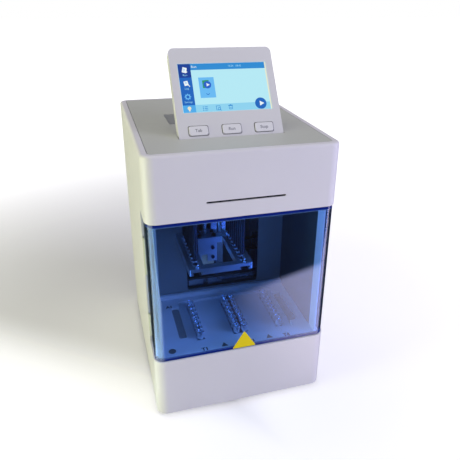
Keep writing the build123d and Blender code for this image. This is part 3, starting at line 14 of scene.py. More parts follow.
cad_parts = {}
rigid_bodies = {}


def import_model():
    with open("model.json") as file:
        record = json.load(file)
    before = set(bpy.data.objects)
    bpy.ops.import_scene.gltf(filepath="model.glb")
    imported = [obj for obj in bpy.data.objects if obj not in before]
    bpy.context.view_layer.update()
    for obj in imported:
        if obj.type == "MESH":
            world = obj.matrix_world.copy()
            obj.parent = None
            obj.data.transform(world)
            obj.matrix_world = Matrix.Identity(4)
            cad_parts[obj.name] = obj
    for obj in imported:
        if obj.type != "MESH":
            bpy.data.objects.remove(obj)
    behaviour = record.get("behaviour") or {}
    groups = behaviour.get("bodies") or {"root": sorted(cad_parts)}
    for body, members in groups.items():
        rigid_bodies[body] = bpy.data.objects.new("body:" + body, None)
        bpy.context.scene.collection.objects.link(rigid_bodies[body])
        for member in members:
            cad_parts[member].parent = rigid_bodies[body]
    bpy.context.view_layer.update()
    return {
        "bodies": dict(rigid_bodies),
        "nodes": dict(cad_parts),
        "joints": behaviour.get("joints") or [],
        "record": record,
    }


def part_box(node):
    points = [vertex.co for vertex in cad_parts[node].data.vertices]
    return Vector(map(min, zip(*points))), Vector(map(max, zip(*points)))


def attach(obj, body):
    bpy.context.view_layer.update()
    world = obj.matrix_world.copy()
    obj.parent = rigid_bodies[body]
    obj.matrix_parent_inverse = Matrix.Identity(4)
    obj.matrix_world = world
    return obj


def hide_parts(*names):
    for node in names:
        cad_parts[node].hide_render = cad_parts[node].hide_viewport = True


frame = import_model()
nodes = frame["nodes"]
MM = 0.001

# %% [markdown]
# ## Small helpers
#
# An operator in Blender acts on everything that is selected. So each piece starts from an empty selection, and ends
# with its place, turn and size moved from the object into its mesh. After that its object sits at the origin, just as
# the CAD parts do, and a pattern on Object coordinates stays where it was put.

# %% Selecting, settling and dressing
def choose_none():
    """Clears the selection."""
    for obj in bpy.context.selected_objects:
        obj.select_set(False)


def choose(obj):
    """Selects one object and nothing else."""
    choose_none()
    obj.select_set(True)
    bpy.context.view_layer.objects.active = obj


def settle(obj):
    """Moves an object's place, turn and size into its mesh."""
    choose(obj)
    bpy.ops.object.transform_apply(location=True, rotation=True, scale=True)
    choose_none()
    return obj


def dress(obj, name, material, body):
    """Names a finished piece, gives it its finish and says which body carries it."""
    obj.name = name
    obj.data.materials.clear()
    obj.data.materials.append(material)
    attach(obj, body)
    return obj


def shape_with(obj, kind, **settings):
    """Adds one modifier with these settings and applies it."""
    choose(obj)
    modifier = obj.modifiers.new(kind.lower(), kind)
    for key, value in settings.items():
        setattr(modifier, key, value)
    bpy.ops.object.modifier_apply(modifier=modifier.name)
    choose_none()
    return obj


def join(pieces):
    """Joins several meshes into the first one."""
    choose_none()
    for piece in pieces:
        piece.select_set(True)
    bpy.context.view_layer.objects.active = pieces[0]
    bpy.ops.object.join()
    choose_none()
    return pieces[0]


# %% [markdown]
# ## Studio
#
# The machine stands on a pale card that fills the whole picture. Lamps strong enough to turn the card white would wash
# out the machine. So the card adds a glow of its own for rays that come straight from the camera, and less of it in
# the machine's shade. Rays that come by way of glass or metal see something else: a lit bench with a straight front
# edge. A glossy sheet looks glossy only when there is something for it to mirror.

# %% Node helpers
def link_all(tree, links):
    """Makes several links at once, each given as two sockets."""
    for start, end in links:
        tree.links.new(start, end)


def eased(tree, value, start, end, low=0.0, high=1.0):
    """A Map Range node that eases from low to high while a value goes from start to end."""
    node = tree.nodes.new("ShaderNodeMapRange")
    node.interpolation_type = "SMOOTHSTEP"
    node.inputs["From Min"].default_value = start
    node.inputs["From Max"].default_value = end
    node.inputs["To Min"].default_value = low
    node.inputs["To Max"].default_value = high
    tree.links.new(value, node.inputs["Value"])
    return node.outputs["Result"]


def maths(tree, operation, *values):
    """A Math node on values that are sockets or numbers."""
    node = tree.nodes.new("ShaderNodeMath")
    node.operation = operation
    for index, value in enumerate(values):
        if isinstance(value, (int, float)):
            node.inputs[index].default_value = value
        else:
            tree.links.new(value, node.inputs[index])
    return node.outputs[0]


def tone_between(material, factor, one, other):
    """A colour that follows a factor between two colours."""
    node = material.node_tree.nodes.new("ShaderNodeMix")
    node.data_type = "RGBA"
    node.inputs[6].default_value = (*one, 1.0)
    node.inputs[7].default_value = (*other, 1.0)
    material.node_tree.links.new(factor, node.inputs[0])
    return node.outputs[2]


# %% The bench that mirrors see
BENCH_LEVEL = 4.4
BENCH_LEFT = 0.8                    # the left side's share of that level
BENCH_DIM = 0.06
BENCH_FRONT = (-0.338, -0.314)      # each edge eases in between two places, in metres
BENCH_FRONT_SLANT = 0.333
BENCH_BACK = (-0.17, -0.07)
BENCH_BACK_SLANT = 0.30
BENCH_RIGHT_EDGE = (0.02, 0.17)
BENCH_LEFT_EDGE = (-0.07, -0.16)


def bench_light(tree, x, y):
    """How bright the bench is: lit at both sides, dim in the machine's shade, cut off along a straight front edge."""
    aside = maths(tree, "ABSOLUTE", x)
    front = eased(tree, maths(tree, "MULTIPLY_ADD", aside, BENCH_FRONT_SLANT, y), *BENCH_FRONT)
    back = eased(tree, maths(tree, "MULTIPLY_ADD", x, BENCH_BACK_SLANT, y), *BENCH_BACK, 1.0, 0.0)
    right = eased(tree, x, *BENCH_RIGHT_EDGE)
    left = eased(tree, x, *BENCH_LEFT_EDGE, 0.0, BENCH_LEFT)
    sides = maths(tree, "MAXIMUM", right, left)
    lit_part = maths(tree, "MULTIPLY", maths(tree, "MULTIPLY", front, sides), back)
    return maths(tree, "MULTIPLY_ADD", lit_part, BENCH_LEVEL, BENCH_DIM)


# %% The card's own glow
GLOW_SHADE, GLOW_OPEN = 0.0, 0.42   # behind the machine's left side, and everywhere else
GLOW_EDGE = (0.06, 0.16)
SHADE_WAY = (-0.6, -0.8)            # level direction across the shade, which runs back and to the left
SHADE_SIDE = 0.12
SWEEP_RISE = (0.25, 1.2)            # over this distance from the machine the glow grows to full white


def card_glow(tree, place, x, y):
    """How much the card glows for the camera."""
    across = maths(tree, "MULTIPLY_ADD", x, SHADE_WAY[0], maths(tree, "MULTIPLY", y, SHADE_WAY[1]))
    open_side = maths(tree, "MAXIMUM", across, maths(tree, "ADD", x, SHADE_SIDE))
    near = eased(tree, open_side, *GLOW_EDGE, GLOW_SHADE, GLOW_OPEN)
    far = tree.nodes.new("ShaderNodeVectorMath")
    far.operation = "LENGTH"
    rise = eased(tree, far.outputs["Value"], *SWEEP_RISE)
    link_all(tree, [(place, far.inputs[0]), (near, rise.node.inputs["To Min"])])
    return rise


# %% Floor card
CARD_PAINT = (0.80, 0.79, 0.86, 1.0)
BENCH_TONE_LEFT, BENCH_TONE_RIGHT = (0.86, 1.0, 0.92), (0.95, 0.82, 1.0)
TONE_EDGE = 0.05


def floor_material():
    """Pale card with its glow for the camera, and the lit bench for mirrors and glass."""
    material = bpy.data.materials.new("studio_card")
    material.use_nodes = True
    tree = material.node_tree
    tree.nodes.clear()
    new = tree.nodes.new
    output = new("ShaderNodeOutputMaterial")
    paint = new("ShaderNodeBsdfDiffuse")
    paint.inputs["Color"].default_value = CARD_PAINT
    glow, bench = new("ShaderNodeEmission"), new("ShaderNodeEmission")
    both, mix = new("ShaderNodeAddShader"), new("ShaderNodeMixShader")
    path, split = new("ShaderNodeLightPath"), new("ShaderNodeSeparateXYZ")
    place = new("ShaderNodeTexCoord").outputs["Object"]
    x, y = split.outputs["X"], split.outputs["Y"]
    link_all(tree, [
        (place, split.inputs[0]),
        (maths(tree, "MULTIPLY", card_glow(tree, place, x, y), path.outputs["Is Camera Ray"]), glow.inputs["Strength"]),
        (bench_light(tree, x, y), bench.inputs["Strength"]),
        (tone_between(material, eased(tree, x, -TONE_EDGE, TONE_EDGE), BENCH_TONE_LEFT, BENCH_TONE_RIGHT),
         bench.inputs["Color"]),
        (paint.outputs[0], both.inputs[0]),
        (glow.outputs[0], both.inputs[1]),
        (maths(tree, "MAXIMUM", path.outputs["Is Glossy Ray"], path.outputs["Is Transmission Ray"]), mix.inputs[0]),
        (both.outputs[0], mix.inputs[1]),
        (bench.outputs[0], mix.inputs[2]),
        (mix.outputs[0], output.inputs["Surface"]),
    ])
    return material


FLOOR_SIDE = 14.0
choose_none()
bpy.ops.mesh.primitive_plane_add(size=FLOOR_SIDE, location=(0.0, 0.0, 0.0))
floor = settle(bpy.context.object)
floor.name = "studio_floor"
floor.data.materials.append(floor_material())
print("floor card:", FLOOR_SIDE, "m wide")

# %% [markdown]
# ## Air and lamps
#
# A room lights a machine from all sides, because its walls pass the light on. An even, weak world colour does the same
# and keeps the shadows open; the camera sees that world as full white. The rest comes from three soft boxes: a cool one
# at the right front, a greenish one low at the left, and a warm one above. Area lamps are used because the soft edge of
# a shadow comes from the size of its lamp.

# %% World
world = bpy.data.worlds.new("studio_air")
bpy.context.scene.world = world
world.use_nodes = True
tree = world.node_tree
tree.nodes.clear()
AIR_STRENGTH = 0.26
air_out = tree.nodes.new("ShaderNodeOutputWorld")
air = tree.nodes.new("ShaderNodeBackground")
air.inputs["Color"].default_value = (1.0, 1.0, 1.0, 1.0)
air_path = tree.nodes.new("ShaderNodeLightPath")
air_level = tree.nodes.new("ShaderNodeMapRange")
air_level.inputs["To Min"].default_value = AIR_STRENGTH
air_level.inputs["To Max"].default_value = 1.0
link_all(tree, [
    (air_path.outputs["Is Camera Ray"], air_level.inputs["Value"]),
    (air_level.outputs["Result"], air.inputs["Strength"]),
    (air.outputs[0], air_out.inputs["Surface"]),
])
print("air strength:", AIR_STRENGTH)


# %% Lamps
def soft_lamp(name, place, aim, width, height, level, tint):
    """A soft box at a place. At level 1 a surface that faces it from one metre looks as bright as its paint."""
    data = bpy.data.lights.new(name, "AREA")
    data.shape = "RECTANGLE"
    data.size = width
    data.size_y = height
    data.color = tint
    lamp = bpy.data.objects.new(name, data)
    bpy.context.scene.collection.objects.link(lamp)
    way = Vector(aim) - Vector(place)
    data.energy = level * math.pi ** 2 * way.length ** 2
    lamp.matrix_world = Matrix.Translation(Vector(place)) @ way.to_track_quat("-Z", "Y").to_matrix().to_4x4()
    return lamp


MIDDLE = (0.0, 0.0, 0.18)
soft_lamp("key_right", (1.40, -1.05, 0.78), MIDDLE, 1.0, 0.9, 0.60, (0.77, 0.77, 1.0))
soft_lamp("left_strip", (-1.38, -0.26, 0.30), MIDDLE, 0.5, 0.45, 0.57, (0.94, 1.0, 0.52))
soft_lamp("top_soft", (-0.35, 0.30, 1.95), MIDDLE, 1.2, 1.2, 0.30, (1.0, 0.97, 0.92))
print("lamps:", [(lamp.name, round(lamp.energy, 1)) for lamp in bpy.data.lights])

# %% [markdown]
# ## Camera
#
# The camera stands in front of the machine, a little to its left and above it, and looks down. It has an ordinary lens
# at an ordinary distance. A small shift of the lens places the machine in the picture without turning the camera.

# %% Camera
CAMERA_TURN = math.radians(16.9073)     # to the right of straight ahead
CAMERA_TILT = math.radians(-24.6884)
CAMERA_ROLL = math.radians(0.9138)
CAMERA_PLACE = Vector((-0.13780, -0.56953, 0.46179))
LENS = 39.227
SHIFT = (-0.0276, -0.0327)

look = Vector((math.sin(CAMERA_TURN) * math.cos(CAMERA_TILT), math.cos(CAMERA_TURN) * math.cos(CAMERA_TILT),
               math.sin(CAMERA_TILT)))
level_right = look.cross(Vector((0.0, 0.0, 1.0))).normalized()
level_up = level_right.cross(look)
camera_right = math.cos(CAMERA_ROLL) * level_right + math.sin(CAMERA_ROLL) * level_up
camera_up = -math.sin(CAMERA_ROLL) * level_right + math.cos(CAMERA_ROLL) * level_up
turn = Matrix((camera_right, camera_up, -look)).transposed().to_4x4()
lens = bpy.data.cameras.new("studio_camera")
lens.sensor_width = 36.0            # millimetres, as a full-frame camera has
lens.lens = LENS
lens.shift_x, lens.shift_y = SHIFT
lens.clip_start = 0.01
camera = bpy.data.objects.new("studio_camera", lens)
bpy.context.scene.collection.objects.link(camera)
camera.matrix_world = Matrix.Translation(CAMERA_PLACE) @ turn
bpy.context.scene.camera = camera
bpy.context.scene.view_settings.view_transform = "Standard"
print("camera at", [round(v, 3) for v in CAMERA_PLACE])

# %% [markdown]
# ## Effects that several finishes share
#
# A moulded plastic isn't flat: the mould is spark-eroded, so its skin has a fine grain, and its colour and gloss wander
# a little over a hand's breadth. Both are built once, as a node group, and each finish sets its own values.

# %% Node group: moulded skin
def new_group(name, inputs, outputs):
    """An empty shader group with named float inputs and named outputs."""
    group = bpy.data.node_groups.new(name, "ShaderNodeTree")
    for label, value in inputs:
        socket = group.interface.new_socket(label, in_out="INPUT", socket_type="NodeSocketFloat")
        socket.default_value = value
    for label in outputs:
        group.interface.new_socket(label, in_out="OUTPUT", socket_type="NodeSocketFloat")
    start = group.nodes.new("NodeGroupInput")
    end = group.nodes.new("NodeGroupOutput")
    return group, start, end


def skin_group():
    """Fine grain as a height, and slow wander of tone and gloss, both from 0 to 1."""
    group, start, end = new_group(
        "moulded_skin", (("Grain Scale", 2200.0), ("Wander Scale", 9.0)), ("Height", "Wander", "Smudge"))
    new = group.nodes.new
    place = new("ShaderNodeTexCoord")
    grain = new("ShaderNodeTexNoise")
    grain.inputs["Detail"].default_value = 2.0
    wander = new("ShaderNodeTexNoise")
    wander.inputs["Detail"].default_value = 4.0
    smudge = new("ShaderNodeTexNoise")
    smudge.inputs["Detail"].default_value = 5.0
    smudge.inputs["Distortion"].default_value = 0.6
    finer = new("ShaderNodeMath")
    finer.operation = "MULTIPLY"
    finer.inputs[1].default_value = 4.3
    spots = new("ShaderNodeMapRange")
    spots.inputs["From Min"].default_value = 0.52
    spots.inputs["From Max"].default_value = 0.72
    link_all(group, [
        (place.outputs["Object"], grain.inputs["Vector"]),
        (place.outputs["Object"], wander.inputs["Vector"]),
        (place.outputs["Object"], smudge.inputs["Vector"]),
        (start.outputs["Grain Scale"], grain.inputs["Scale"]),
        (start.outputs["Wander Scale"], wander.inputs["Scale"]),
        (start.outputs["Wander Scale"], finer.inputs[0]),
        (finer.outputs[0], smudge.inputs["Scale"]),
        (grain.outputs[0], end.inputs["Height"]),
        (wander.outputs[0], end.inputs["Wander"]),
        (smudge.outputs[0], spots.inputs["Value"]),
        (spots.outputs["Result"], end.inputs["Smudge"]),
    ])
    return group


MOULDED_SKIN = skin_group()
print("node group:", MOULDED_SKIN.name)


# %% [markdown]
# Brushed or milled metal shows fine parallel lines. They could be an image, but a noise that is stretched along one
# axis gives the same lines at any size and never repeats.

# %% Node group: brushed metal
def brushed_group():
    """Long fine scratches along one axis as a height, with a slow change of gloss."""
    group, start, end = new_group(
        "brushed_metal", (("Along X", 20.0), ("Along Y", 900.0), ("Along Z", 900.0)), ("Height", "Streaks"))
    new = group.nodes.new
    place = new("ShaderNodeTexCoord")
    stretch = new("ShaderNodeCombineXYZ")
    scaled = new("ShaderNodeVectorMath")
    scaled.operation = "MULTIPLY"
    lines = new("ShaderNodeTexNoise")
    lines.inputs["Scale"].default_value = 1.0
    lines.inputs["Detail"].default_value = 3.0
    slow = new("ShaderNodeTexNoise")
    slow.inputs["Scale"].default_value = 60.0
    link_all(group, [
        (start.outputs["Along X"], stretch.inputs[0]),
        (start.outputs["Along Y"], stretch.inputs[1]),
        (start.outputs["Along Z"], stretch.inputs[2]),
        (place.outputs["Object"], scaled.inputs[0]),
        (stretch.outputs[0], scaled.inputs[1]),
        (scaled.outputs[0], lines.inputs["Vector"]),
        (place.outputs["Object"], slow.inputs["Vector"]),
        (lines.outputs[0], end.inputs["Height"]),
        (slow.outputs[0], end.inputs["Streaks"]),
    ])
    return group


BRUSHED_METAL = brushed_group()
print("node group:", BRUSHED_METAL.name)


# %% [markdown]
# ## Finishes
#
# Each finish is one material. The Principled shader holds the constant numbers, such as the metalness of steel. What
# changes over the surface comes from the groups: tone goes to Base Color, wear to Roughness and grain to Normal.

# %% Material builders
def principled(name, colour, roughness, **constants):
    """A material with one Principled shader, and that shader."""
    material = bpy.data.materials.new(name)
    material.use_nodes = True
    shader = material.node_tree.nodes["Principled BSDF"]
    shader.inputs["Base Color"].default_value = (*colour, 1.0)
    shader.inputs["Roughness"].default_value = roughness
    for label, value in constants.items():
        shader.inputs[label.replace("_", " ")].default_value = value
    return material, shader


def place_group(material, group, **values):
    """Places a node group in a material with its own values."""
    node = material.node_tree.nodes.new("ShaderNodeGroup")
    node.node_tree = group
    for label, value in values.items():
        node.inputs[label.replace("_", " ")].default_value = value
    return node


def ramp_between(material, factor, low, high):
    """A value that follows a factor between two ends."""
    node = material.node_tree.nodes.new("ShaderNodeMapRange")
    node.inputs["To Min"].default_value = low
    node.inputs["To Max"].default_value = high
    material.node_tree.links.new(factor, node.inputs["Value"])
    return node.outputs["Result"]


def bump_from(material, height, depth):
    """A Bump node of a real depth in metres, fed by a height."""
    node = material.node_tree.nodes.new("ShaderNodeBump")
    node.inputs["Distance"].default_value = depth
    node.inputs["Strength"].default_value = 1.0
    material.node_tree.links.new(height, node.inputs["Height"])
    return node.outputs["Normal"]


def moulded(name, colour, shade, roughness, grain=2200.0, depth=0.00004, **constants):
    """Moulded plastic: a fine grain, a slow change of tone and a few duller finger marks."""
    material, shader = principled(name, colour, roughness, **constants)
    skin = place_group(material, MOULDED_SKIN, Grain_Scale=grain)
    link_all(material.node_tree, [
        (tone_between(material, skin.outputs["Wander"], colour, shade), shader.inputs["Base Color"]),
        (ramp_between(material, skin.outputs["Smudge"], roughness, roughness + 0.1), shader.inputs["Roughness"]),
        (bump_from(material, skin.outputs["Height"], depth), shader.inputs["Normal"]),
    ])
    return material


def metal(name, colour, roughness, along=(20.0, 900.0, 900.0), depth=0.00002, **constants):
    """Bright metal with the fine lines that a brush or a milling cutter leaves."""
    material, shader = principled(name, colour, roughness, Metallic=1.0, **constants)
    lines = place_group(material, BRUSHED_METAL, Along_X=along[0], Along_Y=along[1], Along_Z=along[2])
    link_all(material.node_tree, [
        (ramp_between(material, lines.outputs["Streaks"], roughness - 0.05, roughness + 0.12),
         shader.inputs["Roughness"]),
        (bump_from(material, lines.outputs["Height"], depth), shader.inputs["Normal"]),
    ])
    return material


# %% Case, panels and small mouldings
CASE_WHITE = moulded("case_white", (0.78, 0.76, 0.83), (0.73, 0.71, 0.79), 0.42)
TOP_GREY = moulded("top_grey", (0.56, 0.57, 0.55), (0.51, 0.52, 0.51), 0.45)
DISPLAY_WHITE = moulded("display_white", (0.75, 0.74, 0.78), (0.70, 0.69, 0.73), 0.38)
BUTTON_WHITE = moulded("button_white", (0.82, 0.81, 0.85), (0.78, 0.77, 0.82), 0.34, grain=3000.0)
TRAY_WHITE = moulded("tray_white", (0.80, 0.81, 0.88), (0.74, 0.76, 0.84), 0.30, depth=0.00002)
SHEET_WHITE = moulded("sheet_white", (0.50, 0.51, 0.53), (0.42, 0.43, 0.46), 0.40, grain=900.0, depth=0.00006)
SHEET_GREY = moulded("sheet_grey", (0.31, 0.33, 0.36), (0.24, 0.26, 0.28), 0.34, grain=900.0, depth=0.00006)
BLACK_PLASTIC = moulded("black_plastic", (0.018, 0.018, 0.020), (0.030, 0.030, 0.032), 0.45)
FOOT_RUBBER = moulded("foot_rubber", (0.020, 0.020, 0.021), (0.040, 0.040, 0.040), 0.75, grain=1500.0)
BELT_RUBBER = moulded("belt_rubber", (0.022, 0.022, 0.022), (0.045, 0.045, 0.045), 0.60, grain=2600.0)
BOARD_GREEN = moulded("board_green", (0.015, 0.130, 0.055), (0.020, 0.095, 0.045), 0.35, grain=800.0)
FLAG_BEIGE = moulded("flag_beige", (0.70, 0.63, 0.48), (0.62, 0.55, 0.41), 0.50)
SLOT_LENS = moulded("slot_lens", (0.020, 0.020, 0.024), (0.028, 0.028, 0.034), 0.20, depth=0.00001)
DARK_PAINT = ((0.075, 0.080, 0.085), (0.050, 0.055, 0.060), 0.34)
SHEET_DARK = moulded("sheet_dark", *DARK_PAINT, grain=900.0, depth=0.00006)
ANODISED = moulded("anodised", (0.70, 0.70, 0.72), (0.64, 0.65, 0.67), 0.28, grain=1800.0, depth=0.00001, Metallic=0.9)
HINGE_GREY = moulded("hinge_grey", (0.56, 0.56, 0.48), (0.48, 0.48, 0.42), 0.50, depth=0.00001)
print("plastics, paints and rubbers:", len(bpy.data.materials) - 1)

# %% [markdown]
# The chamber's right wall is dark. A pale strip down its front edge, beside the door, is a painted highlight: a band of
# light, not a paint that the sheet has. Two materials would need the mesh to be cut. A mask on Object coordinates
# paints the strip on the uncut mesh.

# %% Right liner and its painted highlight
PAINTED_HIGHLIGHT_EDGE = (-0.1048, -0.1056)       # the paint changes between these two places, in metres
# the pale lip is a painted highlight, a band of light beside the door
PAINTED_HIGHLIGHT_TONE = (0.90, 0.82, 0.95, 1.0)


def liner_with_painted_highlight():
    """Dark painted sheet with a pale painted highlight along its front edge."""
    material = moulded("liner_with_painted_highlight", *DARK_PAINT, grain=900.0, depth=0.00006)
    tree = material.node_tree
    base = tree.nodes["Principled BSDF"].inputs["Base Color"]
    place = tree.nodes.new("ShaderNodeTexCoord")
    split = tree.nodes.new("ShaderNodeSeparateXYZ")
    tone = tree.nodes.new("ShaderNodeMix")
    tone.data_type = "RGBA"
    tone.inputs[7].default_value = PAINTED_HIGHLIGHT_TONE
    link_all(tree, [(place.outputs["Object"], split.inputs[0]), (base.links[0].from_socket, tone.inputs[6])])
    link_all(tree, [(eased(tree, split.outputs["Y"], *PAINTED_HIGHLIGHT_EDGE), tone.inputs[0]), (tone.outputs[2], base)])
    return material


LINER_PAINTED_HIGHLIGHT = liner_with_painted_highlight()
print("pale lip in front of", PAINTED_HIGHLIGHT_EDGE[0] / MM, "mm")

# %% Metals
ALUMINIUM = metal("aluminium", (0.80, 0.81, 0.83), 0.26)
CUP_ALUMINIUM = metal("cup_aluminium", (0.90, 0.91, 0.93), 0.20, along=(500.0, 500.0, 500.0), depth=0.000002)
STEEL = metal("steel", (0.62, 0.62, 0.63), 0.22, along=(900.0, 900.0, 20.0))
DARK_STEEL = metal("dark_steel", (0.16, 0.16, 0.18), 0.35)
MAGNET_BLACK = metal("magnet_black", (0.055, 0.055, 0.062), 0.30, along=(900.0, 900.0, 30.0))
STEEL_BLACK = metal("blackened_steel", (0.060, 0.062, 0.070), 0.30)
print("metals: aluminium, steel and blackened steel")


# %% [markdown]
# ## Glass and lamps
#
# The door is a clear blue acrylic sheet. A Principled shader with full transmission bends and tints what is behind it.
# A refracting surface on its own would stop the lamps' light, so rays that carry light see a nearly clear sheet. The
# upper and lower edges are deep blue, because there one looks along the sheet and not through it.

# %% Door sheet
DOOR_LOW, DOOR_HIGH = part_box("door_window")


def edge_mask(tree, reach):
    """1 at the sheet's upper and lower edge, falling to 0 within a few millimetres."""
    place = tree.nodes.new("ShaderNodeTexCoord")
    split = tree.nodes.new("ShaderNodeSeparateXYZ")
    tree.links.new(place.outputs["Object"], split.inputs[0])
    upper = eased(tree, split.outputs["Z"], DOOR_HIGH.z - reach, DOOR_HIGH.z - reach * 0.6)
    lower = eased(tree, split.outputs["Z"], DOOR_LOW.z + reach, DOOR_LOW.z + reach * 0.6)
    return maths(tree, "MAXIMUM", upper, lower)


ACRYLIC_TINT, ACRYLIC_EDGE = (0.23, 0.46, 1.0), (0.004, 0.020, 0.22)
ACRYLIC_SHADOW = (0.92, 0.96, 1.0, 1.0)
EDGE_REACH = 0.0045


def door_blue():
    """Blue acrylic, clear to look through, deep blue along its edges, that lets the lamps' light into the chamber."""
    material, shader = principled("door_blue", ACRYLIC_TINT, 0.02, Transmission_Weight=1.0, IOR=1.49)
    tree = material.node_tree
    shadow = tree.nodes.new("ShaderNodeBsdfTransparent")
    shadow.inputs["Color"].default_value = ACRYLIC_SHADOW
    path = tree.nodes.new("ShaderNodeLightPath")
    mix = tree.nodes.new("ShaderNodeMixShader")
    output = tree.nodes["Material Output"]
    skin = place_group(material, MOULDED_SKIN, Wander_Scale=14.0)
    edge = edge_mask(tree, EDGE_REACH)
    link_all(tree, [
        (tone_between(material, edge, ACRYLIC_TINT, ACRYLIC_EDGE), shader.inputs["Base Color"]),
        (ramp_between(material, edge, 1.0, 0.15), shader.inputs["Transmission Weight"]),
        (ramp_between(material, skin.outputs["Smudge"], 0.012, 0.05), shader.inputs["Roughness"]),
        (maths(tree, "MAXIMUM", path.outputs["Is Shadow Ray"], path.outputs["Is Diffuse Ray"]), mix.inputs[0]),
        (shader.outputs[0], mix.inputs[1]),
        (shadow.outputs[0], mix.inputs[2]),
        (mix.outputs[0], output.inputs["Surface"]),
    ])
    return material


DOOR_BLUE = door_blue()
print("door sheet from", round(DOOR_LOW.z, 4), "to", round(DOOR_HIGH.z, 4), "m")


# %% Lamp, screen and lit colours
def lit(name, colour, strength, roughness=0.12, base=(0.01, 0.01, 0.012)):
    """A surface that shines by itself under a glossy skin, as a screen's picture does."""
    material, shader = principled(name, base, roughness)
    shader.inputs["Emission Color"].default_value = (*colour, 1.0)
    shader.inputs["Emission Strength"].default_value = strength
    skin = place_group(material, MOULDED_SKIN, Grain_Scale=5000.0)
    link_all(material.node_tree, [
        (ramp_between(material, skin.outputs["Smudge"], roughness, roughness + 0.08), shader.inputs["Roughness"]),
    ])
    return material


LAMP_DIFFUSER = lit("lamp_diffuser", (0.25, 0.55, 1.0), 9.0, roughness=0.35, base=(0.7, 0.72, 0.75))
SCREEN_GLASS = lit("screen_glass", (0.45, 0.82, 0.93), 0.95)
print("lit finishes:", LAMP_DIFFUSER.name, SCREEN_GLASS.name)

# %% [markdown]
# ## Dressing the CAD parts
#
# Every CAD part says what it is made of, as a slot name. One table turns that name into a finish. A second, short table
# holds the parts whose finish differs from others of the same stuff, such as the anodised sleeve frame.

# %% Finishes for the CAD parts
FINISH_OF_SLOT = {
    "case_white": CASE_WHITE,
    "top_grey": TOP_GREY,
    "door_blue": DOOR_BLUE,
    "tray_white": TRAY_WHITE,
    "sheet_white": SHEET_WHITE,
    "steel": STEEL,
    "dark_steel": DARK_STEEL,
    "aluminium": ALUMINIUM,
    "magnet_black": MAGNET_BLACK,
    "black_plastic": BLACK_PLASTIC,
    "foot_rubber": FOOT_RUBBER,
    "belt_rubber": BELT_RUBBER,
    "lamp_diffuser": LAMP_DIFFUSER,
    "slot_lens": SLOT_LENS,
    "screen_glass": SCREEN_GLASS,
    "button_white": BUTTON_WHITE,
    "board_green": BOARD_GREEN,
    "flag_beige": FLAG_BEIGE,
}
slot_of_node = {entry["node"]: entry["material_slot"] for entry in frame["record"]["subparts"]}
OWN_FINISH = {
    "display_bezel": DISPLAY_WHITE, "display_back_cover": DISPLAY_WHITE, "z_rail": STEEL,
    "chamber_hood": SHEET_GREY, "chamber_liner_right": LINER_PAINTED_HIGHLIGHT,
    "comb_frame": ANODISED, "comb_bracket": ANODISED,
    "gantry_frame": SHEET_DARK, "cross_carriage": SHEET_DARK,
    "door_hinge_leaves": HINGE_GREY, "case_hinge_leaves": HINGE_GREY,
}
for node_name, node in nodes.items():
    finish = OWN_FINISH.get(node_name) or FINISH_OF_SLOT[slot_of_node[node_name]]
    for index in range(max(1, len(node.material_slots))):
        if not node.material_slots:
            node.data.materials.append(finish)
        node.material_slots[index].material = finish
print("finished", len(nodes), "CAD parts with", len(set(slot_of_node.values())), "finishes")

# %% [markdown]
# ## Tools for the small pieces
#
# Three ways of working make nearly every small piece here. A flat shape is a filled circle of a few sides whose corners
# are bevelled and which Solidify thickens. A turned part, such as a screw or a rod, is a profile drawn point by
# point with Extrude and then swept round with Spin, as on a lathe. Lettering is a text object made into a mesh.
# Sizes are in millimetres, as on a drawing.

# %% Placing and copying
def seat(obj, place, axis=(0.0, 0.0, 1.0)):
    """Stands a piece at a place in millimetres, its own upright along an axis."""
    upright = Vector(axis).z > 0.999
    turn = Matrix.Identity(4) if upright else Vector(axis).to_track_quat("Z", "Y").to_matrix().to_4x4()
    obj.matrix_world = Matrix.Translation(Vector(place) * MM) @ turn
    return settle(obj)


def twin(obj):
    """A copy with a mesh of its own."""
    copy = obj.copy()
    copy.data = obj.data.copy()
    bpy.context.scene.collection.objects.link(copy)
    return copy


def discard(obj):
    """Removes a pattern piece once its copies are made."""
    bpy.data.objects.remove(obj, do_unlink=True)


# %% Flat shapes
def flat_shape(sides, width, height, thick, round_by=0.0, frame=0.0, spin=0.0):
    """A flat polygon of this width and height, its corners rounded, filled or as a frame, standing on its plane."""
    choose_none()
    start = math.pi / sides if sides % 2 == 0 else 0.0
    bpy.ops.mesh.primitive_circle_add(vertices=sides, radius=0.5, fill_type="NGON", rotation=(0.0, 0.0, start))
    obj = settle(bpy.context.object)
    reach = obj.dimensions
    obj.scale = (width * MM / reach.x, height * MM / reach.y, 1.0)
    settle(obj)
    bpy.ops.object.select_all(action="DESELECT")
    choose(obj)
    bpy.ops.object.mode_set(mode="EDIT")
    bpy.ops.mesh.select_all(action="SELECT")
    if round_by:
        bpy.ops.mesh.bevel(offset=round_by * MM, segments=4, affect="VERTICES")
        bpy.ops.mesh.select_all(action="SELECT")
    if frame:
        bpy.ops.mesh.inset(thickness=frame * MM)
        bpy.ops.mesh.delete(type="FACE")
    bpy.ops.object.mode_set(mode="OBJECT")
    shape_with(obj, "SOLIDIFY", thickness=thick * MM, offset=1.0)
    if spin:
        obj.rotation_euler = (0.0, 0.0, spin)
        settle(obj)
    return obj


def words(text, tall, thick=0.03, weight=0.0):
    """Lettering of this capital height, centred on the origin, as a thin solid."""
    choose_none()
    bpy.ops.object.text_add(location=(0.0, 0.0, 0.0))
    obj = bpy.context.object
    obj.data.body = text
    obj.data.align_x = "CENTER"
    obj.data.align_y = "CENTER"
    obj.data.size = tall * MM / 0.70
    obj.data.extrude = thick * MM / 2
    obj.data.offset = weight * MM
    obj.data.resolution_u = 3
    choose(obj)
    bpy.ops.object.convert(target="MESH")
    obj = bpy.context.object
    choose_none()
    return obj


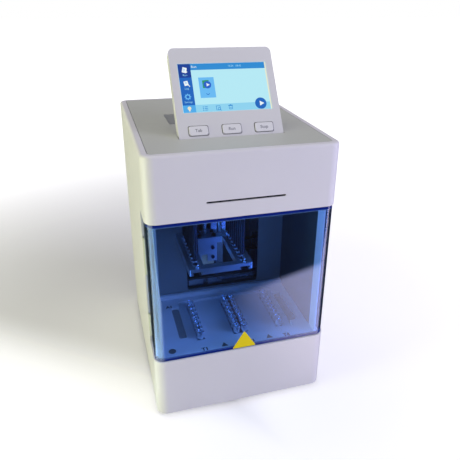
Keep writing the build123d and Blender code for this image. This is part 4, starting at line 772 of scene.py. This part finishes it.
# %% Turned parts
def lathe(profile, steps):
    """Turns a profile of (radius, height) points in millimetres about the upright axis."""
    choose_none()
    bpy.ops.mesh.primitive_plane_add(size=0.001)
    obj = bpy.context.object
    bpy.ops.object.mode_set(mode="EDIT")
    bpy.ops.mesh.select_all(action="SELECT")
    bpy.ops.mesh.merge(type="CENTER")
    radius, height = profile[0]
    bpy.ops.transform.translate(value=(radius * MM, 0.0, height * MM))
    for (r0, z0), (r1, z1) in zip(profile, profile[1:]):
        step = ((r1 - r0) * MM, 0.0, (z1 - z0) * MM)
        bpy.ops.mesh.extrude_region_move(TRANSFORM_OT_translate={"value": step})
    bpy.ops.mesh.select_all(action="SELECT")
    bpy.ops.mesh.spin(steps=steps, angle=2 * math.pi, center=(0.0, 0.0, 0.0), axis=(0.0, 0.0, 1.0))
    bpy.ops.mesh.select_all(action="SELECT")
    bpy.ops.mesh.remove_doubles(threshold=0.000002)
    bpy.ops.mesh.normals_make_consistent(inside=False)
    bpy.ops.object.mode_set(mode="OBJECT")
    choose(obj)
    bpy.ops.object.shade_smooth_by_angle(angle=math.radians(35.0))
    choose_none()
    return obj


# %% [markdown]
# ## Socket screws
#
# Four cap screws hold the sleeve frame to its bracket, two more sit on the bracket's front, and one at each slot's
# front stops the sleeves. A bevelled cylinder would do for the head, but a turned profile also gives the recess that
# reads as the socket. The frame's four CAD heads are plain prisms, so the turned ones stand in for them.

# %% Cap screws on the sleeve frame
def cap_screw(radius, tall):
    """A cap screw's head with its socket, standing on the origin."""
    socket = radius * 0.52
    rim = 0.3
    return lathe([(0.0, 0.0), (radius, 0.0), (radius, tall - rim), (radius - rim, tall), (socket, tall),
                  (socket * 0.92, tall - 0.25), (socket * 0.86, tall * 0.45), (0.0, tall * 0.40)], 24)


def scatter(pattern, places, axis, name, material, body):
    """Copies a pattern piece to several places along one axis and joins the copies."""
    copies = []
    for place in places:
        copies.append(seat(twin(pattern), place, axis))
    discard(pattern)
    piece = join(copies) if len(copies) > 1 else copies[0]
    return dress(piece, name, material, body)


FRAME_TOP = 177.8
HEAD_X = -19.3
SLEEVE_COLUMNS = (-46.3, 7.7)
UP = (0.0, 0.0, 1.0)
screw_places = [(HEAD_X + side, y, FRAME_TOP) for side in (-9.0, 9.0) for y in (-26.5, -15.0)]
frame_screws = scatter(cap_screw(2.6, 2.4), screw_places, UP, "sleeve_frame_screws", STEEL_BLACK, "sleeve_stage")
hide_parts("comb_screws")
print("screws on the sleeve frame:", len(screw_places))

# %% Sleeve stops and bracket screws
STOP_Y = -98.4
BRACKET_SCREW_X, BRACKET_SCREW_HEIGHTS = -13.0, (164.0, 151.0)
FRONTWARD = (0.0, -1.0, 0.0)
scatter(cap_screw(2.4, 1.6), [(x, STOP_Y, FRAME_TOP) for x in SLEEVE_COLUMNS], UP, "sleeve_stops", STEEL,
        "sleeve_stage")
bracket_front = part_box("comb_bracket")[0].y / MM
scatter(cap_screw(2.2, 2.0), [(BRACKET_SCREW_X, bracket_front, z) for z in BRACKET_SCREW_HEIGHTS], FRONTWARD,
        "bracket_screws", STEEL_BLACK, "sleeve_stage")
print("bracket's front face at", round(bracket_front, 1), "mm")

# %% [markdown]
# ## Rods and lead screws
#
# Sixteen rods of black-coated steel with a rounded tip each hold a magnet. They are turned pieces, smooth where the CAD
# model has ten flats. The lead screws have a trapezoid thread. A thread this fine is made as a stack of grooves on the
# same lathe: the eye can't tell them from a helix, and the mesh stays closed.

# %% Magnet rods
WELL_PITCH, FIRST_ROW = 9.0, -90.2
ROWS_Y = [FIRST_ROW + WELL_PITCH * row for row in range(8)]
rod_low, rod_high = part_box("magnet_rods")
ROD_R = 2.9
rod_long = (rod_high.z - rod_low.z) / MM
rod = lathe([(0.0, 0.0), (1.1, 0.15), (2.1, 0.75), (2.7, 1.7), (ROD_R, 2.9), (ROD_R, rod_long - 6.0),
             (2.6, rod_long - 5.6), (2.6, rod_long), (0.0, rod_long)], 20)
rod_places = [(x, y, rod_low.z / MM) for x in SLEEVE_COLUMNS for y in ROWS_Y]
rods = scatter(rod, rod_places, UP, "magnet_rod_set", MAGNET_BLACK, "rod_stage")
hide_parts("magnet_rods")
print("magnet rods:", len(rod_places), "each", round(rod_long, 1), "mm long")


# %% Lead screws
def threaded(radius, length, pitch, depth):
    """A lead screw's profile: plain ends, and grooves between them."""
    profile = [(0.0, 0.0), (radius - depth - 0.3, 0.0), (radius - depth, 0.3), (radius - depth, 4.0)]
    turns = int((length - 8.0) / pitch)
    for turn in range(turns):
        z = 4.0 + turn * pitch
        profile += [(radius, z + pitch * 0.15), (radius, z + pitch * 0.50), (radius - depth, z + pitch * 0.65),
                    (radius - depth, z + pitch)]
    profile += [(radius - depth, length - 0.3), (radius - depth - 0.3, length), (0.0, length)]
    return profile


def screw_for(node, body, name):
    """A threaded screw in the place of a plain CAD rod."""
    low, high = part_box(node)
    radius = (high.x - low.x) / 2 / MM
    middle = (low + high) / 2 / MM
    piece = lathe(threaded(radius, (high.z - low.z) / MM, 2.0, 0.5), 16)
    seat(piece, (middle.x, middle.y, low.z / MM))
    dress(piece, name, STEEL, body)
    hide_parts(node)
    return piece


screw_for("comb_lead_screw", "comb_screw", "threaded_comb_screw")
screw_for("rod_lead_screw", "rod_screw", "threaded_rod_screw")
print("lead screws threaded at 2 mm pitch")

# %% [markdown]
# ## Heater strips
#
# Each strip is machined from one bar of aluminium: a row of eight bosses with a cup in each, joined by a lower web. The
# boss is turned once with its rim and its cup, copied to the well pitch and joined to a bevelled bar.

# %% Heater strips
STRIP_TOP = 85.5
WEB_WIDE, WEB_DROP = 6.8, 2.2       # the web between the cups, and how far it stays below their rims


def heater_strip(number, x):
    """One strip of eight turned cups on its web."""
    node = "heater_strip_%d" % number
    low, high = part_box(node)
    web_low = low.z / MM
    bpy.ops.object.select_all(action="DESELECT")
    middle = Vector((x, (ROWS_Y[0] + ROWS_Y[-1]) / 2, (web_low + STRIP_TOP - WEB_DROP) / 2)) * MM
    bpy.ops.mesh.primitive_cube_add(size=1.0, location=middle)
    web = bpy.context.object
    web.scale = (WEB_WIDE * MM, (ROWS_Y[-1] - ROWS_Y[0]) * MM, (STRIP_TOP - WEB_DROP - web_low) * MM)
    settle(web)
    shape_with(web, "BEVEL", width=0.35 * MM, segments=2)
    boss = lathe([(0.0, -9.5), (4.3, -9.5), (4.3, -0.35), (3.95, 0.0), (3.5, 0.0), (3.3, -0.3), (3.0, -2.0),
                  (2.1, -3.2), (1.0, -3.7), (0.0, -3.8)], 28)
    bosses = [seat(twin(boss), (x, y, STRIP_TOP)) for y in ROWS_Y]
    discard(boss)
    strip = join([web] + bosses)
    dress(strip, "cup_strip_%d" % number, CUP_ALUMINIUM, "housing")
    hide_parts(node)
    return strip


STRIP_PLACES = (-42.8, 2.2, 11.2, 56.2)
for number, x in enumerate(STRIP_PLACES, start=1):
    heater_strip(number, x)
print("heater strips: 4, with", 4 * len(ROWS_Y), "cups")

# %% [markdown]
# ## Slot collars
#
# In use a plastic sleeve is pushed into each place of the frame's slots. A bright collar marks each place, eight in a
# row, which gives a slot its scalloped look. The CAD frame stays as it is, so the collars are turned rings that stand
# on it.

# %% Collars along the slots
collar = lathe([(3.75, 0.0), (4.42, 0.0), (4.42, 0.55), (4.25, 0.8), (3.95, 0.8), (3.75, 0.55), (3.75, 0.0)], 24)
collar_places = [(x, y, FRAME_TOP) for x in SLEEVE_COLUMNS for y in ROWS_Y]
scatter(collar, collar_places, UP, "slot_collars", ALUMINIUM, "sleeve_stage")
print("collars:", len(collar_places))

# %% [markdown]
# ## The screen's picture
#
# The screen is lit and shows a plain menu: a dark column of symbols at the left, a blue bar with the page's name and
# the time, a pale working area with one tile, and a round start button. A cream strip along its right edge is a
# painted highlight. Each field is a thin sheet that shines by itself, laid over the last one a few hundredths of a
# millimetre higher, so that none of them flickers through.

# %% Screen colours
DISPLAY_FRAME = Matrix.Translation((0.0, -0.0732, 0.3125)) @ Matrix.Rotation(math.radians(56.4), 4, "X")
SCREEN_Z = 5.2


def screen_tone(red, green, blue):
    """A lit colour from the three numbers, 0 to 255, that a screen designer would give."""
    return tuple((v / 255.0) ** 2.2 for v in (red, green, blue))


SCREEN_TONES = {
    "navy": (12, 62, 150), "deep": (24, 100, 190), "mid": (42, 138, 212), "sky": (78, 170, 236),
    "tile": (104, 186, 246), "ice": (182, 236, 248), "strip": (142, 212, 242), "white": (240, 250, 252),
    "pale": (150, 214, 246), "leaf": (52, 150, 96), "glow": (34, 96, 200), "cream": (236, 233, 205),
}
SCREEN_FINISH = {name: lit("screen_" + name, screen_tone(*tone), 0.95) for name, tone in SCREEN_TONES.items()}


def show(obj, name, tone, x, y, layer):
    """Lays a piece of the picture on the screen, x from its middle and y from the display's hinge, in millimetres."""
    obj.matrix_world = DISPLAY_FRAME @ Matrix.Translation(Vector((x, y, SCREEN_Z + 0.03 * layer)) * MM)
    settle(obj)
    return dress(obj, "screen_" + name, SCREEN_FINISH[tone], "display")


def field(name, tone, x0, x1, y0, y1, layer, round_by=0.0):
    """One rectangle of the picture."""
    return show(flat_shape(4, x1 - x0, y1 - y0, 0.02, round_by), name, tone, (x0 + x1) / 2, (y0 + y1) / 2, layer)


# %% Fields
LEFT_X, RIGHT_X, LOW_Y, HIGH_Y = -48.4, 48.4, 30.2, 83.7
MENU_X = -35.1                      # the menu column's right side
field("body", "ice", LEFT_X, RIGHT_X, LOW_Y, HIGH_Y, 1)
field("cell_run", "navy", LEFT_X, MENU_X, 68.6, HIGH_Y, 2)
field("cell_log", "deep", LEFT_X, MENU_X, 38.2, 68.6, 2)
field("cell_lamp", "sky", LEFT_X, MENU_X, LOW_Y, 38.2, 2)
field("title_bar", "mid", MENU_X, RIGHT_X, 76.7, HIGH_Y, 2)
field("foot_bar", "strip", MENU_X, RIGHT_X, LOW_Y, 38.3, 2)
field("tile_back", "tile", -28.3, -11.7, 45.5, 68.2, 3)
# a painted highlight: a cream strip of light along the screen's right edge
field("painted_highlight_edge", "cream", 47.0, RIGHT_X, LOW_Y, HIGH_Y, 4)
print("lit area in mm:", round(RIGHT_X - LEFT_X, 1), "by", round(HIGH_Y - LOW_Y, 1))

# %% Words and digits
show(words("Run", 2.6), "word_title", "white", -31.4, 80.2, 5)
show(words("10:24   08:45", 2.0), "word_time", "pale", 13.1, 80.2, 5)
COLUMN_X = -41.8
for text, tall, y in (("Run", 2.1, 71.2), ("Log", 2.1, 56.4), ("Settings", 1.9, 41.6)):
    show(words(text, tall), "word_" + text.lower(), "pale", COLUMN_X, y, 5)
print("words on the screen: 5")


# %% Symbols
def moved(piece, x, y):
    """Moves a piece of a symbol on the symbol's own plane."""
    piece.location = (x * MM, y * MM, 0.0)
    return settle(piece)


def bar(width, height, x, y, spin=0.0, round_by=0.0):
    """A small bar of a symbol, placed and turned."""
    return moved(flat_shape(4, width, height, 0.02, round_by, spin=spin), x, y)


def disc(radius, x=0.0, y=0.0, frame=0.0):
    """A disc, or a ring where frame gives its width."""
    return moved(flat_shape(32, 2 * radius, 2 * radius, 0.02, frame=frame), x, y)


def arrow(width, height, x, y):
    """A triangle that points to the right."""
    return moved(flat_shape(3, height, width, 0.02, round_by=0.2, spin=-math.pi / 2), x, y)


# %% Symbols of the menu column
show(join([bar(4.6, 5.8, 0, 0, -0.25, 0.4), bar(2.4, 1.2, 1.6, -2.4, 0.5, 0.2)]),
     "symbol_sheet", "white", COLUMN_X, 76.9, 5)
show(join([bar(2.6, 0.4, -0.3, 1.2, -0.25), bar(2.6, 0.4, -0.5, 0.1, -0.25), bar(1.8, 0.4, -1.0, -1.0, -0.25)]),
     "symbol_sheet_lines", "sky", COLUMN_X, 76.9, 6)
show(join([bar(4.4, 5.0, 0, 0.3, 0.2, 0.4), bar(0.9, 4.6, 2.2, -1.6, 0.7, 0.3)]),
     "symbol_log", "white", COLUMN_X, 61.9, 5)
show(join([bar(2.4, 0.4, -0.3, 1.4, 0.2), bar(2.4, 0.4, -0.1, 0.3, 0.2)]), "symbol_log_lines", "sky", COLUMN_X, 61.9, 6)
TOOTH_RING = 2.9
tooth_turns = [k * math.pi / 4 for k in range(8)]
teeth = [bar(1.1, 1.0, TOOTH_RING * math.cos(turn), TOOTH_RING * math.sin(turn), turn) for turn in tooth_turns]
show(join([disc(2.7, frame=1.1)] + teeth), "symbol_gear", "tile", COLUMN_X, 47.4, 5)
show(join([disc(1.9, 0, 0.9), bar(1.7, 1.9, 0, -1.4, 0, 0.3)]), "symbol_lamp", "cream", COLUMN_X, 34.0, 5)
print("menu symbols: run, log, settings and lamp")

# %% Symbols of the tile, the start button and the foot bar
FOOT_Y = 33.9
show(join([bar(4.6, 8.6, -2.2, 0.2, 0.0, 0.5), bar(4.4, 1.4, 0.4, 4.0, 0.0, 0.4)]),
     "symbol_leaf", "leaf", -20.0, 60.4, 5)
show(disc(4.1, 0.6, 0), "symbol_globe", "glow", -20.0, 59.9, 6)
show(arrow(3.4, 3.6, 0.9, 0), "symbol_globe_arrow", "white", -20.0, 59.9, 7)
show(join([bar(2.6, 0.6, -0.9, 0, -0.7, 0.2), bar(2.6, 0.6, 0.9, 0, 0.7, 0.2)]),
     "symbol_chevron", "deep", -20.0, 49.5, 5)
show(disc(6.4), "start_button", "deep", 36.3, 36.8, 5)
show(arrow(5.0, 5.4, 0.6, 0), "start_arrow", "white", 36.3, 36.8, 6)
list_rows = (1.8, 0.0, -1.8)
show(join([bar(1.1, 0.9, -2.2, y) for y in list_rows] + [bar(3.2, 0.7, 0.9, y) for y in list_rows]),
     "symbol_list", "mid", -24.9, FOOT_Y, 5)
show(join([flat_shape(4, 4.6, 5.0, 0.02, 0.5, frame=0.55), disc(1.5, 0.9, -0.9, frame=0.5),
           bar(2.0, 0.6, 2.3, -2.3, -0.8)]), "symbol_search", "mid", -11.1, FOOT_Y, 5)
show(join([flat_shape(4, 4.0, 4.2, 0.02, 0.9, frame=0.55), bar(5.2, 0.7, 0, 2.2, 0, 0.2), bar(1.8, 0.7, 0, 2.8),
           bar(2.2, 0.5, 0, -0.2)]), "symbol_bin", "mid", 2.4, FOOT_Y, 5)

# %% [markdown]
# ## Buttons
#
# The three buttons carry pad-printed words. Round each runs a narrow joint, dark because it is deep. The joint is
# real in the CAD model; a thin dark lining at its mouth is painted shade, the soft black line that its depth leaves.

# %% Button words and the painted shade in their joints
PRINT_GREY = moulded("print_grey", (0.17, 0.17, 0.21), (0.20, 0.20, 0.24), 0.55)
# the dark linings are painted shade at the mouth of each joint
JOINT_PAINTED_SHADE = moulded("joint_painted_shade", (0.035, 0.035, 0.042), (0.060, 0.060, 0.070), 0.60)
BUTTON_Y, WORD_Z, LINING_Z = 10.1, 6.42, 5.5
for text, x, body in (("Tab", -35.6, "tab_button"), ("Run", 0.0, "run_button"), ("Stop", 35.6, "stop_button")):
    label = words(text, 3.3, 0.04, 0.05)
    label.matrix_world = DISPLAY_FRAME @ Matrix.Translation(Vector((x, BUTTON_Y, WORD_Z)) * MM)
    settle(label)
    dress(label, "word_" + body, PRINT_GREY, body)
    lining = flat_shape(4, 21.5, 11.3, 0.04, round_by=2.0, frame=0.55)
    lining.matrix_world = DISPLAY_FRAME @ Matrix.Translation(Vector((x, BUTTON_Y, LINING_Z)) * MM)
    settle(lining)
    dress(lining, "joint_" + body, JOINT_PAINTED_SHADE, "display")
print("button words: Tab, Run, Stop")

# %% [markdown]
# ## Marks on the deck
#
# Small printed marks on the tray tell the user which way round a plate goes. Grey pads in the two finger scoops are
# painted shade, the dark that the deep scoops hold.
# Real marks are a film of ink. Here each is a solid a few hundredths of a millimetre thick, so it never flickers in
# the tray's face and keeps its own finish. A plain yellow sticker sits on the door.

# %% Deck marks
MARK_DARK = moulded("mark_dark", (0.030, 0.032, 0.045), (0.045, 0.047, 0.060), 0.50)
MARK_BROWN = moulded("mark_brown", (0.150, 0.130, 0.120), (0.180, 0.155, 0.140), 0.55)
DECK_Z = 79.5
for text, x, y in (("A1", -70.0, -24.0), ("T1", -42.8, -116.5), ("T2", 1.5, -116.5), ("T3", 13.0, -116.5),
                   ("T4", 57.0, -116.5)):
    mark = seat(words(text, 5.0, weight=0.30), (x, y, DECK_Z + 0.02))
    dress(mark, "mark_" + text, MARK_DARK, "housing")
for index, (x, y) in enumerate(((-19.4, -115.0), (35.7, -114.7))):
    pointer = seat(flat_shape(3, 8.0, 7.0, 0.03, 0.3), (x, y, DECK_Z))
    dress(pointer, "plate_pointer_%d" % index, MARK_BROWN, "housing")
spot = seat(flat_shape(36, 8.5, 8.5, 0.03), (-80.0, -110.5, DECK_Z))
dress(spot, "corner_spot", MARK_BROWN, "housing")
print("deck marks: 5 labels, 2 pointers and a spot")

# %% Painted shade in the finger scoops
# the grey pads are painted shade in the deep finger scoops
SCOOP_SHADE_PAINT = moulded("scoop_painted_shade", (0.34, 0.33, 0.33), (0.27, 0.26, 0.27), 0.60, grain=1200.0)
SCOOP_Y, SCOOP_FLOOR = -58.7, 76.0
for index, x in enumerate((-63.2, 76.6)):
    shade_pad = seat(flat_shape(4, 9.2, 62.8, 0.8, round_by=3.2), (x, SCOOP_Y, SCOOP_FLOOR))
    shape_with(shade_pad, "BEVEL", width=0.25 * MM, segments=2)
    dress(shade_pad, "scoop_shade_pad_%d" % index, SCOOP_SHADE_PAINT, "housing")
print("scoop pads: 2")

# %% Door sticker
STICKER_YELLOW = moulded("sticker_yellow", (0.90, 0.72, 0.006), (0.86, 0.68, 0.006), 0.50, depth=0.00001,
                         Specular_IOR_Level=0.2)
STICKER_PLACE = (1.0, -127.3, 88.4)
sticker = flat_shape(3, 28.0, 22.6, 0.12, round_by=1.8)
seat(sticker, STICKER_PLACE, FRONTWARD)
dress(sticker, "door_sticker", STICKER_YELLOW, "door")
print("sticker on the door's face at", STICKER_PLACE[1], "mm")

# %% [markdown]
# ## Screws at the back
#
# The rear panel is held by eight button-headed screws and the fan by four. The letters beside the mains switch are
# printed on the panel, so they face backwards.

# %% Rear panel and fan screws
BACKWARD = (0.0, 1.0, 0.0)
SCREW_MARGIN, FAN_HOLE = 7.0, 25.0
panel_low, panel_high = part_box("rear_panel")
panel_y = panel_high.y / MM
left_x, right_x = panel_low.x / MM + SCREW_MARGIN, panel_high.x / MM - SCREW_MARGIN
low_z, high_z = panel_low.z / MM + SCREW_MARGIN, panel_high.z / MM - SCREW_MARGIN
third = (high_z - low_z) / 3
panel_places = [(x, panel_y, z) for x in (left_x, right_x) for z in (low_z, low_z + third, high_z - third, high_z)]
scatter(cap_screw(3.0, 1.3), panel_places, BACKWARD, "rear_panel_screws", STEEL, "housing")
fan_low, fan_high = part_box("fan_frame")
fan_x, fan_z = (fan_low.x + fan_high.x) / 2 / MM, (fan_low.z + fan_high.z) / 2 / MM
fan_places = [(fan_x + a, panel_y, fan_z + b) for a in (-FAN_HOLE, FAN_HOLE) for b in (-FAN_HOLE, FAN_HOLE)]
scatter(cap_screw(2.6, 1.2), fan_places, BACKWARD, "fan_screws", STEEL_BLACK, "housing")
print("screws at the back:", len(panel_places) + len(fan_places))

# %% Marks beside the mains switch
switch_low, switch_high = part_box("switch_body")
switch_x, switch_z = (switch_low.x + switch_high.x) / 2 / MM, (switch_low.z + switch_high.z) / 2 / MM
FACING_BACK = Matrix(((-1.0, 0.0, 0.0), (0.0, 0.0, 1.0), (0.0, 1.0, 0.0))).to_4x4()
for text, rise in (("I", 15.0), ("O", -15.0)):
    letter = words(text, 3.4, 0.05, 0.08)
    letter.matrix_world = Matrix.Translation(Vector((switch_x, panel_y, switch_z + rise)) * MM) @ FACING_BACK
    settle(letter)
    dress(letter, "switch_mark_" + text, PRINT_GREY, "housing")
print("switch marks: I and O")
